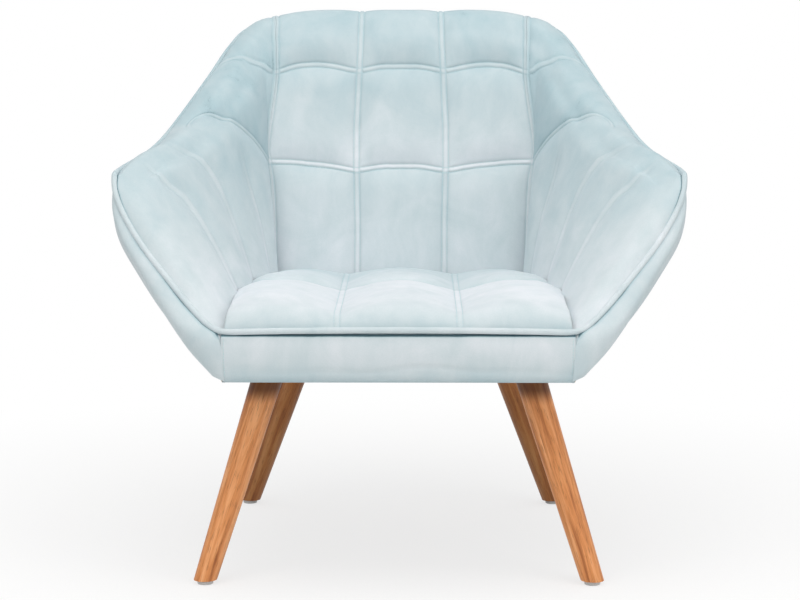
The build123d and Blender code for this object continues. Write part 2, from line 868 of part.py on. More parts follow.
def cushion_section(y):
    """Section across the seat cushion."""
    rear = cushion_rear if y > cushion_row_y else cushion_row_y
    near = cushion_row_y if y > cushion_row_y else cushion_front
    swell = sin(pi * (y - near) / (rear - near))
    nose = max(0, (nose_start - y) / nose_length)
    fall = nose_drop * nose**2
    half = min(half_width(y, foam_top) - seat_side_gap, cushion_half_width)
    half -= (cushion_half_width - front_welt_half_width) * nose**2
    side = cushion_crown - cushion_side_drop - fall
    seam = cushion_crown - cushion_seam_drop - fall
    puff = seam_crown + (cushion_seam_drop - seam_crown) * swell
    bottom = foam_top + soft_gap if y >= front_rail_back else lip_bottom
    column = cushion_column_x
    path = [
        (-half, bottom),
        (half, bottom),
        (half, side),
        (((half + column) / 2, (side + seam) / 2 + puff), (column, seam)),
        ((0, seam + puff), (-column, seam)),
        ((-(half + column) / 2, (side + seam) / 2 + puff), (-half, side)),
    ]
    return section(Plane(origin=(0, y, 0), x_dir=(1, 0, 0), z_dir=(0, -1, 0)), path)


cushion_ys = [cushion_rear + (cushion_row_y - cushion_rear) * step / 6 for step in range(6)]
cushion_ys += [cushion_row_y + (nose_start - cushion_row_y) * step / 5 for step in range(6)]
cushion_ys += [front_rail_back, front_rail_back - 2 * welt_radius]
cushion_ys += [cushion_front + nose_length * step / 10 for step in (3, 1.2, 0)]
with BuildPart() as seat_cushion:
    loft([cushion_section(y) for y in sorted(cushion_ys)], ruled=True)
finish("seat_cushion", seat_cushion.part)

# Front apron, a shallow padded band below the welt
apron_face = front_foot_y - cover_thickness
apron_top = front_welt_height - welt_radius - soft_gap
apron_round = 0.7 * cover_thickness
apron_path = [
    (front_foot_y, underside_height),
    (apron_face + apron_round, underside_height),
    (apron_face, underside_height + apron_round),
    ((apron_face - apron_swell, (underside_height + apron_top) / 2), (apron_face, apron_top)),
    (front_foot_y, apron_top),
]
facing_cut = Plane(
    origin=front_plane.from_local_coords(Vector(facing_inner - soft_gap, 0, 0)),
    z_dir=front_plane.x_dir,
)
apron_half_width = front_welt_half_width + cover_thickness
side_view = Plane(origin=(-apron_half_width, 0, 0), x_dir=(0, 1, 0), z_dir=(1, 0, 0))
with BuildPart() as front_apron:
    extrude(section(side_view, apron_path), amount=2 * apron_half_width)
    split(bisect_by=facing_cut, keep=Keep.BOTTOM)
    split(bisect_by=left(facing_cut), keep=Keep.BOTTOM)
finish("front_apron", front_apron.part)

# Dust cover stapled under the frame, with a window for each leg plate
cover_right = []
for number in stations(0, panel_end, 18):
    plane = station(number)
    edge = level_y(plane, underside_height, -dust_cover_inset)
    corner = plane.from_local_coords(Vector(-dust_cover_inset, edge, 0))
    cover_right.append((corner.X, max(corner.Y, front_rail_face + dust_cover_inset)))
window = plate_size + 2 * dust_cover_inset
with BuildPart() as dust_cover:
    with BuildSketch(Plane.XY.offset(underside_height - dust_cover_thickness)):
        with BuildLine():
            Polyline(*cover_right, *[(-x, y) for x, y in reversed(cover_right[1:])], close=True)
        make_face()
        for axis in both(leg_axes):
            with Locations((axis.origin.X, axis.origin.Y)):
                Rectangle(window, window, mode=Mode.SUBTRACT)
    extrude(amount=dust_cover_thickness)
finish("dust_cover", dust_cover.part)

staple_level = underside_height - dust_cover_thickness - staple_thickness
with BuildPart() as dust_staples:
    for number in stations(-panel_end + staple_end_gap, panel_end - staple_end_gap, staple_count):
        plane = station(number)
        inset = -2 * dust_cover_inset
        spot = plane.from_local_coords(Vector(inset, level_y(plane, underside_height, inset), 0))
        run = Vector(plane.z_dir.X, plane.z_dir.Y, 0)
        place = Plane(origin=(spot.X, spot.Y, staple_level), x_dir=run, z_dir=(0, 0, 1))
        with BuildSketch(place):
            Rectangle(staple_length, staple_width)
        extrude(amount=staple_thickness)
finish("dust_staples", dust_staples.part)
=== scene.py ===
from math import radians
import bpy
import numpy as np
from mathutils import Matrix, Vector


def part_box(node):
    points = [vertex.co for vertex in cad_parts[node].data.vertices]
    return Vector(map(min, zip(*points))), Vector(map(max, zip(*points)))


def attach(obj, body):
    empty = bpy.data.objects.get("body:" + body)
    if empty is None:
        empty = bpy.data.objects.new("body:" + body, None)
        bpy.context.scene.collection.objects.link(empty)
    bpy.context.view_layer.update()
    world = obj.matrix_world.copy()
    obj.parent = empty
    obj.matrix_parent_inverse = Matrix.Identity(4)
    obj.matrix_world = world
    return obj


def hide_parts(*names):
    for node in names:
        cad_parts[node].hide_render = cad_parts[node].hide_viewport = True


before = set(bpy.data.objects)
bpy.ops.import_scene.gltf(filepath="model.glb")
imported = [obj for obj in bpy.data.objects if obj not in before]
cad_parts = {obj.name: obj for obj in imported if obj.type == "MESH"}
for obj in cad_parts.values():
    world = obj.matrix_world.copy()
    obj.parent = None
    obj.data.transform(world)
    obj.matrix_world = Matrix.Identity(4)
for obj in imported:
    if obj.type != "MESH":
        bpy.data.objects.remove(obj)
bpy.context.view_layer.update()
print("frame loaded:", len(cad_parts), "nodes")

mm = 0.001
left = np.array([-1.0, 1.0, 1.0])       # mirrors a place onto the chair's left
armFront = 9                            # station number of the arms' front ends


# Lines round the chair, in millimetres: stations run from 0, mid back, to 9, arm front, minus on the left
chairLines = {
    "underside": 293, "backFootY": 198, "frontFootY": -314, "frameHalfWidth": 231,
    "backHeight": 766, "backTopY": 305.4, "frontTopY": -163,
    "wingHeight": 677, "wingFlare": 48, "armHeight": 583, "armFlare": 114,
    "frontHeight": 551, "frontFlare": 154, "panel": 12, "cover": 12,
}
footWidths = [0, .294, .63, .97, 1.004, 1.009, 1.009, 1.004, .991, .961]
footRuns = [0, .002, .007, .025, .098, .186, .314, .422, .656, 1]
topRuns = [0, .002, .011, .07, .136, .26, .482, .658, .853, 1]
topWidths = [0, .294, .63, .96]             # the stations after these flare out
topFalls = [0, 0, .015, .14, .45]           # from the back's height to the wings'
sectionTurns = [0, 1, 7, 30, 56, 72, 80, 82, 84, 88]
padDepths = [46, 46, 46, 50, 46, 52.5, 56.5, 56.5, 52, 8]
coverBulges = [12] * 5 + [20.4, 36, 37, 37, 13.5]
rowShares = [1, 1, 1, .94, .8, .55, .38, .36, .35, .34]


def between(start, end, share):
    return start + (end - start) * share


def clamp(share):
    return np.clip(share, 0, 1)


def bell(distance, width):
    return np.exp(-(distance / width) ** 2)


def smoothStep(value, start=0, width=1):
    share = clamp((value - start) / width)
    return share * share * (3 - 2 * share)


def unit(vectors):
    return vectors / np.linalg.norm(vectors, axis=-1, keepdims=True)


def runOf(points):
    # lengths along a line of points
    return np.concatenate([[0], np.cumsum(np.linalg.norm(np.diff(points, axis=0), axis=1))])


def readAt(points, lengths, places):
    return np.stack([np.interp(places, lengths, part) for part in points.T], -1)


def stacked(*parts):
    # places from their coordinates, each spread to the same shape
    return np.stack(np.broadcast_arrays(*parts), -1)


def roundOff(line, passes):
    # evens a line out between its ends
    for _ in range(passes):
        line[1:-1] = (line[:-2] + 2 * line[1:-1] + line[2:]) / 4
    return line


def curve(before, low, high, after, share):
    # from low to high, heeding the values before and after
    square, cube = share ** 2, share ** 3
    value = low * (2 * cube - 3 * square + 1) + high * (3 * square - 2 * cube)
    return value + (high - before) / 2 * (cube - 2 * square + share) + (after - low) / 2 * (cube - square)


def smoothPath(points, count, samples=96):
    # evenly spaced points on a smooth curve through a few points
    points = np.asarray(points, float)
    ends = np.concatenate([[2 * points[0] - points[1]], points, [2 * points[-1] - points[-2]]])
    share = np.linspace(0, 1, samples + 1)[:-1, None]
    parts = [curve(*four, share) for four in zip(ends, ends[1:], ends[2:], ends[3:])]
    dense = np.concatenate(parts + [points[-1:]])
    lengths = runOf(dense)
    return readAt(dense, lengths, np.linspace(0, lengths[-1], count))


def makeLines(c):
    half, wing, arm, front = c["frameHalfWidth"], c["wingFlare"], c["armFlare"], c["frontFlare"]
    foot = [(half * width, between(c["backFootY"], c["frontFootY"], run), c["underside"])
            for width, run in zip(footWidths, footRuns)]
    across = [half * width for width in topWidths]
    across += [half + flare for flare in (.4 * wing, wing, between(wing, arm, .61), arm, .96 * front, front)]
    heights = [between(c["backHeight"], c["wingHeight"], fall) for fall in topFalls]
    heights += [c["wingHeight"], between(c["wingHeight"], c["armHeight"], .66), c["armHeight"],
                between(c["armHeight"], c["frontHeight"], .6), c["frontHeight"]]
    top = [(x, between(c["backTopY"], c["frontTopY"], run), z) for x, run, z in zip(across, topRuns, heights)]
    return np.array(foot, float), np.array(top, float)


footLine, topLine = makeLines(chairLines)


def readLine(line, number):
    # smooth curve through a line's values at a station number, mirrored on the left
    line, number = np.asarray(line, float), np.asarray(number, float)
    isPoint = line.ndim == 2
    ends = np.concatenate([[line[1] * left if isPoint else line[1]], line, [2 * line[-1] - line[-2]]])
    start = np.clip(np.abs(number).astype(int), 0, len(line) - 2)
    share = np.abs(number) - start
    value = curve(*(ends[start + step] for step in range(4)), share[..., None] if isPoint else share)
    return value * np.where(number[..., None] < 0, left, 1) if isPoint else value


def stationAxes(number):
    foot = readLine(footLine, number)
    climb = readLine(topLine, number) - foot
    rise = unit(climb)
    turn = np.radians(readLine(sectionTurns, number))
    side = np.where(np.asarray(number) < 0, -1, 1)
    facing = stacked(np.sin(turn) * side, np.cos(turn), 0)
    outward = unit(facing - rise * np.sum(facing * rise, -1, keepdims=True))
    return foot, outward, rise, np.cross(outward, rise) * side[..., None], np.linalg.norm(climb, axis=-1)


def onStation(axes, x, y):
    # x out of the panel, y up it
    return axes[0] + axes[1] * np.asarray(x, float)[..., None] + axes[2] * np.asarray(y, float)[..., None]


def levelY(axes, height, x):
    foot, outward, rise = axes[:3]
    return (height - foot[..., 2] - x * outward[..., 2]) / rise[..., 2]


# Front edge of an arm from the underside up to the rim's corner: share of the panel's height, then the place
frontEdge = np.array([
    (0.00, 231.5, -317, 292.8), (0.02, 232, -324, 296), (0.05, 232.5, -328, 306), (0.08, 233, -329.5, 320),
    (0.12, 233.5, -328.5, 343), (0.17, 240, -321, 359.5), (0.23, 256.5, -302.5, 369.5),
    (0.31, 275.5, -284, 384.3), (0.41, 294, -266, 402.5), (0.53, 319, -247, 430), (0.63, 340, -231, 453),
    (0.72, 358, -216, 474.5), (0.82, 374.5, -201, 499), (0.90, 386, -190, 519), (0.96, 393.8, -179.5, 539),
    (0.985, 395.7, -170, 550), (1.00, 395.2, -159, 559)])


def frontEdgeAt(share):
    return readAt(frontEdge[:, 1:], frontEdge[:, 0], clamp(share))


# Materials
def toLinear(hexColour):
    channels = [int(hexColour[place:place + 2], 16) / 255 for place in (1, 3, 5)]
    return tuple(c / 12.92 if c <= .04045 else ((c + .055) / 1.055) ** 2.4 for c in channels) + (1.0,)


def setNode(tree, node, settings, links):
    # a link comes from a socket, or from a node's first output
    for name, value in settings.items():
        if isinstance(name, int) or name in node.inputs:
            node.inputs[name].default_value = value
        else:
            setattr(node, name, value)
    for name, source in links.items():
        tree.links.new(source.outputs[0] if hasattr(source, "outputs") else source, node.inputs[name])
    return node


def addNode(tree, kind, settings={}, links={}):
    return setNode(tree, tree.nodes.new("ShaderNode" + kind), settings, links)


def newMaterial(name):
    material = bpy.data.materials.new(name)
    material.use_nodes = True
    tree = material.node_tree
    return material, tree, addNode(tree, "TexCoord").outputs["Object"]


def setShader(tree, settings, links):
    return setNode(tree, tree.nodes["Principled BSDF"], settings, links)


def addNoise(tree, where, size, settings):
    return addNode(tree, "TexNoise", {"Scale": 1 / (size * mm), **settings}, {"Vector": where})


def addRange(tree, value, limits, settings={}):
    return addNode(tree, "MapRange", {"From Min": limits[0], "From Max": limits[1], **settings}, {"Value": value})


def addBump(tree, height, strength, depth, invert=False):
    settings = {"Strength": strength, "Distance": depth * mm, "invert": invert}
    return addNode(tree, "Bump", settings, {"Height": height})


def colourRamp(tree, source, stops):
    ramp = addNode(tree, "ValToRGB", links={"Fac": source})
    elements = ramp.color_ramp.elements
    while len(elements) < len(stops):
        elements.new(.5)
    for element, (place, colour) in zip(elements, stops):
        element.position = place
        element.color = toLinear(colour)
    return ramp


# Short pile velvet: soft, with no highlight, a pale bloom at the edges of folds and cloudy nap marks
velvetLook = {
    "tones": [(0, "#4F6A73"), (.18, "#A7BEC5"), (.5, "#C4D0D4"), (.82, "#DEE2E7")],     # painted shade in creases, dark, middle, light
    "bloom": "#EEF1F7", "sheen": .25, "sheenRoughness": .4, "roughness": .85, "bump": .35,
    "napMarks": 85, "brushMarks": 26, "pile": 1.6, "pileHeight": .10,       # mm, coarser than real so that it shows
    "brushStretch": .35, "brushShare": .35, "pileShare": .35, "markShare": .4, "markRange": (.3, .7),
}


def makeVelvet(name, look):
    material, tree, where = newMaterial(name)

    def mixed(share, first, second):
        return addNode(tree, "Mix", {"data_type": "FLOAT", 0: share}, {2: first, 3: second})

    # each point's tone: painted light and shade, partly the way the pile lies
    lieAndShade = addNode(tree, "Attribute", {"attribute_name": "napAndShade"}).outputs["Fac"]
    napAndShade = addNoise(tree, where, look["napMarks"], {"Detail": 4.0, "Roughness": .62, "Distortion": .9})
    stretched = addNode(tree, "Mapping", {"Scale": (1.0, 1.0, look["brushStretch"])}, {"Vector": where})
    brush = addNoise(tree, stretched, look["brushMarks"], {"Detail": 3.0, "Roughness": .55})
    pile = addNoise(tree, where, look["pile"], {"Detail": 2.0})
    marks = addRange(tree, mixed(look["brushShare"], napAndShade, brush), look["markRange"])
    tone = mixed(look["markShare"], lieAndShade, mixed(look["pileShare"], marks, pile))
    setShader(tree, {"Roughness": look["roughness"], "IOR": 1.46, "Specular IOR Level": .12,
                     "Sheen Weight": look["sheen"], "Sheen Roughness": look["sheenRoughness"],
                     "Sheen Tint": toLinear(look["bloom"])},
              {"Base Color": colourRamp(tree, tone, look["tones"]),
               "Normal": addBump(tree, pile, look["bump"], look["pileHeight"])})
    return material


# Oiled solid wood, turned and sanded: warm straight grain along the leg, pores as short dark flecks
woodLook = {
    "figure": [(.3, "#A25E33"), (.48, "#D88E55"), (.68, "#F4B27C")], "pore": "#6A3E20",
    # the rear legs' darker tint is painted shade under the seat
    "front": "#FFFFFF", "rear": "#C2BDA8", "shade": "#84796A", "roughness": .46, "bump": .4,
    "grain": (5.5, 90), "pores": (.9, 14), "poreDepth": .12,        # mm, width and length
    "poreRange": (.57, .72), "poreShare": .55, "shaded": (244, 268),       # mm, painted shadow of the seat on the tops of the legs
}


def makeWood(name, look, axis, shift, shadeTint):
    material, tree, where = newMaterial(name)
    turn = Vector(axis).rotation_difference(Vector((0, 0, 1))).to_euler()
    along = addNode(tree, "Mapping", {"Rotation": turn, "Location": shift}, {"Vector": where})

    def streaks(size, settings):
        scale = [1 / (side * mm) for side in (size[0], size[0], size[1])]
        drawn = addNode(tree, "Mapping", {"Scale": scale}, {"Vector": along})
        return addNode(tree, "TexNoise", settings, {"Vector": drawn})

    def blended(kind, under, over, links={}):
        settings = {"data_type": "RGBA", "blend_type": kind, 0: 1.0, 7: toLinear(over)}
        return addNode(tree, "Mix", settings, {6: under, **links}).outputs[2]

    figure = streaks(look["grain"], {"Scale": .55, "Detail": 5.0, "Roughness": .6, "Distortion": .5})
    fleck = streaks(look["pores"], {"Scale": .8, "Detail": 2.0, "Roughness": .5})
    hollow = addRange(tree, fleck, look["poreRange"])
    share = addNode(tree, "Math", {"operation": "MULTIPLY", 1: look["poreShare"]}, {0: hollow})
    colour = blended("MIX", colourRamp(tree, figure, look["figure"]), look["pore"], {0: share})
    # painted shadow of the seat: the legs darken towards their tops
    height = addNode(tree, "SeparateXYZ", links={"Vector": addNode(tree, "NewGeometry")}).outputs["Z"]
    seatShadow = addRange(tree, height, np.array(look["shaded"]) * mm, {"interpolation_type": "SMOOTHSTEP"})
    colour = blended("MULTIPLY", colour, look["shade"], {0: seatShadow})
    setShader(tree, {"Roughness": look["roughness"], "IOR": 1.48, "Specular IOR Level": .35},
              {"Base Color": blended("MULTIPLY", colour, shadeTint),
               "Normal": addBump(tree, hollow, look["bump"], look["poreDepth"], True)})
    return material


# One recipe for the plain finishes: two colours in a pattern of a real size, with its bump, both in mm
plainLook = {"texture": "TexNoise", "pattern": {"Detail": 3.0}, "stops": (.38, .62), "metal": 0, "ior": 1.5,
             "specular": .5, "bump": .5, "depth": 0}
plainLooks = {
    # tight twist, a little paler than the pile around it
    "spunPolyesterThread": {"colours": ("#A9C6CC", "#C6DCE0"), "grit": .5, "rough": .6, "specular": .3,
                            "stops": (.4, .6), "pattern": {"Detail": 1.0}},
    # thin black cloth pressed with a grid of tiny dimples
    "spunBondedPolypropylene": {"colours": ("#26282B", "#17181A"), "grit": 2.4, "rough": .85, "ior": 1.49,
                                "specular": .3, "stops": (.15, .5), "depth": .15,
                                "texture": "TexVoronoi", "pattern": {"Randomness": .15}},
    # milky, half matt
    "injectionMouldedPolypropylene": {"colours": ("#C3C7C8", "#D4D8D8"), "grit": 1.2, "rough": .5, "ior": 1.49,
                                      "depth": .03},
    # bright grey with soft reflections
    "zincPlatedSteel": {"colours": ("#A9ABAF", "#C9CBCE"), "grit": 4, "rough": .34, "metal": 1, "depth": .01},
    # pale raw wood, matt
    "planedPine": {"colours": ("#C79F6B", "#E0BE8C"), "grit": 6, "rough": .7, "depth": .08},
    "sandedBirchPlywood": {"colours": ("#C8A878", "#DDC297"), "grit": 9, "rough": .7, "depth": .06},
    # nearly black, half matt
    "mouldedNylonClip": {"colours": ("#1F2022", "#2B2C2E"), "grit": 1, "rough": .5, "ior": 1.53, "depth": .03},
    # mottled grey fluff
    "needledFelt": {"colours": ("#6F6D69", "#8A8783"), "grit": 2.5, "rough": .95, "ior": 1.45, "depth": .5},
    # cream, open pores
    "cutSeatFoam": {"colours": ("#E6DFC4", "#F1EBD6"), "grit": 1.8, "rough": .95, "ior": 1.45, "depth": .3},
    # white, dull
    "whitePaperSweep": {"colours": ("#F4F4F4", "#FAFAFA"), "grit": 2.5, "rough": .9, "specular": .1, "stops": (.4, .6),
                        "pattern": {"Detail": 2.0}},
}


def makePlain(name, look):
    material, tree, where = newMaterial(name)
    grit = addNode(tree, look["texture"], {"Scale": 1 / (look["grit"] * mm), **look["pattern"]}, {"Vector": where})
    links = {"Base Color": colourRamp(tree, grit, list(zip(look["stops"], look["colours"])))}
    if look["depth"]:
        links["Normal"] = addBump(tree, grit, look["bump"], look["depth"])
    setShader(tree, {"Roughness": look["rough"], "Metallic": look["metal"], "IOR": look["ior"],
                     "Specular IOR Level": look["specular"]}, links)
    return material


velvet = makeVelvet("shortPileVelvet", velvetLook)
plain = {name: makePlain(name, {**plainLook, **look}) for name, look in plainLooks.items()}
print("materials made")


# Mesh helpers
def linkObject(name, data):
    made = bpy.data.objects.new(name, data)
    bpy.context.scene.collection.objects.link(made)
    return made


def newMesh(name, points, faces):
    mesh = bpy.data.meshes.new(name)
    mesh.from_pydata((np.asarray(points).reshape(-1, 3) * mm).tolist(), [], faces)
    return linkObject(name, mesh)


def newPiece(name, points, faces, material, nodes=(), napAndShade=.6):
    piece = newMesh(name, points, faces)
    mesh = piece.data
    mesh.materials.append(material)
    mesh.shade_smooth()
    # each point's tone: painted light and shade, partly the way the pile lies
    tone = mesh.attributes.new("napAndShade", "FLOAT", "POINT")
    tone.data.foreach_set("value", np.broadcast_to(np.ravel(napAndShade), len(mesh.vertices)).astype(np.float32))
    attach(piece, "root")
    if nodes:
        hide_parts(*nodes)
    return piece


def gridFaces(rows, columns, wrapRows=False, wrapColumns=False, start=0):
    faces = []
    for row in range(rows if wrapRows else rows - 1):
        here, above = start + row * columns, start + (row + 1) % rows * columns
        for column in range(columns if wrapColumns else columns - 1):
            beyond = (column + 1) % columns
            faces.append((here + column, here + beyond, above + beyond, above + column))
    return faces


def gridNormals(points):
    return unit(np.cross(np.gradient(points, axis=1), np.gradient(points, axis=0)) + 1e-12)


def ringsAlong(path, across, other, radius, sides):
    turn = np.linspace(0, 2 * np.pi, sides, endpoint=False)[:, None]
    return path[:, None] + radius * (across[:, None] * np.cos(turn) + other[:, None] * np.sin(turn))


# Lines close together near a seam, so that its strip and both rows of stitches keep their shape
seamLines = np.array([0, 2.2, 4.0, 5.0, 6.2, 8.5, 12, 16.5])
seamRoom = 3.2          # a gap less than this many times their width crowds them


def spaceLines(start, end, count):
    # start and end hold one value per line of the other direction
    start, end = np.broadcast_arrays(np.asarray(start, float)[..., None], np.asarray(end, float)[..., None])
    gaps = end - start
    steps = seamLines * np.minimum(1, np.abs(gaps) / (seamRoom * seamLines[-1])) * np.sign(gaps)
    near, far = start + steps, end - steps[..., ::-1]
    middle = between(near[..., -1:], far[..., :1], np.linspace(0, 1, count + 2)[1:-1])
    return np.concatenate([near, middle, far], -1)


def evenOut(field, passes):
    # each point of a grid takes on a share of its neighbours' values
    for _ in range(passes):
        wide = np.pad(field, ((1, 1), (1, 1)) + ((0, 0),) * (field.ndim - 2), mode="edge")
        around = wide[:-2, 1:-1] + wide[2:, 1:-1] + wide[1:-1, :-2] + wide[1:-1, 2:]
        field = (field + around / 4) / 2
    return field


def swell(distance, width, power=2.3):
    # 0 on a seam, rising steeply and then flat, as a stuffed panel does
    return 1 - (1 - clamp(distance / width)) ** power


stitchRow = {"gap": .6, "pullWidth": 1.1, "shadeWidth": .9}      # mm, beside a seam's strip


def seamStrip(distance, strip):
    # a flat strip between two rows of stitches, which pull the cloth in
    raised = strip["raise"] * clamp(1 - (distance / strip["half"]) ** 4)
    return raised - strip["pull"] * bell(distance - strip["half"] - stitchRow["gap"], stitchRow["pullWidth"])


def seamTone(distance, strip):
    # paler on the strip, with painted shade in the creases at the stitches
    pale = strip["pale"] * clamp(1 - (distance / strip["half"]) ** 2)
    return pale - strip["creaseShade"] * bell(distance - strip["half"] - stitchRow["gap"], stitchRow["shadeWidth"])


# Cloth simulation: seams and borders pinned, air pressure inside, movement capped
clothRun = {
    "frames": 20, "calmPasses": 24, "sewnShare": .8,        # share of the height that the pattern gives
    "settings": {"quality": 5, "mass": .25, "tension_stiffness": 18, "compression_stiffness": 18, "shear_stiffness": 9,
                 "bending_stiffness": .6, "tension_damping": 25, "compression_damping": 25, "air_damping": 4,
                 "use_pressure": True, "uniform_pressure_force": 4.0, "shrink_min": -.012, "vertex_group_mass": "sewn"},
}


def puffCloth(grid, normals, pinned, cap, side):
    # how far each point of a grid rises along its normal, in millimetres; side tells which way its faces look
    faces = [face[::1 if side < 0 else -1] for face in gridFaces(*grid.shape[:2])]
    trial = newMesh("clothTrial", grid, faces)
    trial.vertex_groups.new(name="sewn").add(np.flatnonzero(pinned).tolist(), 1.0, "REPLACE")
    modifier = trial.modifiers.new("cloth", "CLOTH")
    for name, value in clothRun["settings"].items():
        setattr(modifier.settings, name, value)
    modifier.settings.effector_weights.gravity = 0
    modifier.collision_settings.use_collision = modifier.collision_settings.use_self_collision = False
    modifier.point_cache.frame_start, modifier.point_cache.frame_end = 1, clothRun["frames"]
    for number in range(1, clothRun["frames"] + 1):
        bpy.context.scene.frame_set(number)
    shaped = trial.evaluated_get(bpy.context.evaluated_depsgraph_get())
    result = np.empty(grid.size)
    shaped.data.vertices.foreach_get("co", result)
    bpy.data.meshes.remove(trial.data)
    bpy.context.scene.frame_set(1)
    lift = np.clip(np.sum((result.reshape(grid.shape) / mm - grid) * normals, -1), -cap, cap)
    for _ in range(clothRun["calmPasses"]):         # no wrinkle folds over itself
        lift = np.where(pinned, 0, evenOut(lift, 1))
    return lift


def puffOut(name, base, normals, height, pinned, give, cap, side):
    # the pattern's height, and what the air adds where the cloth gives
    pinned[:, 0] = pinned[:, -1] = pinned[0] = pinned[-1] = True
    shaped = base + normals * (height * clothRun["sewnShare"])[..., None]
    lift = puffCloth(shaped, normals, pinned, cap, side)
    print(name, "puffed by", round(float(lift.mean()), 2), "mm")
    return shaped + normals * (lift * give)[..., None]


# Welt: velvet piped over cord, round the rim, down the arm fronts and across the front of the seat
welt = {
    "radius": 4.2, "sides": 14, "step": 5, "out": 17, "rimReach": 8, "rimPoints": 84,
    "liftPlaces": (0, 3, 4.2, 6, 7, 9), "lifts": (4.5, 4.5, 2.5, 3.0, 4.5, 5.5),
    "frontY": -325, "frontHeight": 364.8, "frontDip": 2.5, "frontHalfWidth": 222, "edgeEnd": .17,
    "cornerPasses": 30, "cordPasses": 4, "core": (0, -40, 470), "tones": [(350, .55), (480, .6), (620, .1)],
}


def weltPath(w):
    # one loop: the rim, round both arm corners, down the arm fronts and across below the seat
    numbers = np.linspace(-w["rimReach"], w["rimReach"], w["rimPoints"])
    axes = stationAxes(numbers)
    ahead = np.gradient(readLine(topLine, numbers), axis=0)
    slant = np.abs(np.sum(unit(np.cross(axes[1], ahead)) * axes[2], -1))
    rim = onStation(axes, w["out"], axes[4] + np.interp(np.abs(numbers), w["liftPlaces"], w["lifts"]) / slant)
    run = np.linspace(w["frontHalfWidth"], 0, 9)
    dip = w["frontDip"] * (run / w["frontHalfWidth"]) ** 2
    across = stacked(run, w["frontY"], w["frontHeight"] - dip)
    side = frontEdgeAt(np.linspace(1, w["edgeEnd"], 30))
    half = roundOff(smoothPath(np.concatenate([side, across]), 160), w["cornerPasses"])
    return np.concatenate([rim, half, (half * left)[-2::-1], rim[:1]])


def makeWelt(w, path):
    path = smoothPath(path, int(runOf(path)[-1] / w["step"]))[:-1]
    for _ in range(w["cordPasses"]):            # a cord can't turn a sharp corner
        path = (np.roll(path, 1, 0) + 2 * path + np.roll(path, -1, 0)) / 4
    ahead = unit(np.roll(path, -1, 0) - np.roll(path, 1, 0))
    across = unit(np.cross(ahead, path - w["core"]))
    rings = ringsAlong(path, across, np.cross(ahead, across), w["radius"], w["sides"])
    # its tone by height, darker up on the rim: painted shade
    newPiece("welt_cord", rings, gridFaces(*rings.shape[:2], True, True), velvet, ["rim_welt", "front_welt"],
             np.interp(rings[..., 2], *zip(*w["tones"])))


weltLine = weltPath(welt)
weltFine = smoothPath(weltLine, 900)
makeWelt(welt, weltLine)
print("welt made")


def besideWelt(points, width):
    # 1 where a cover tucks in beside the welt, falling to 0 within a few millimetres
    gap = np.array([np.linalg.norm(column[:, None] - weltFine, axis=2).min(1) for column in points])
    return bell(np.maximum(gap - welt["radius"], 0), width)


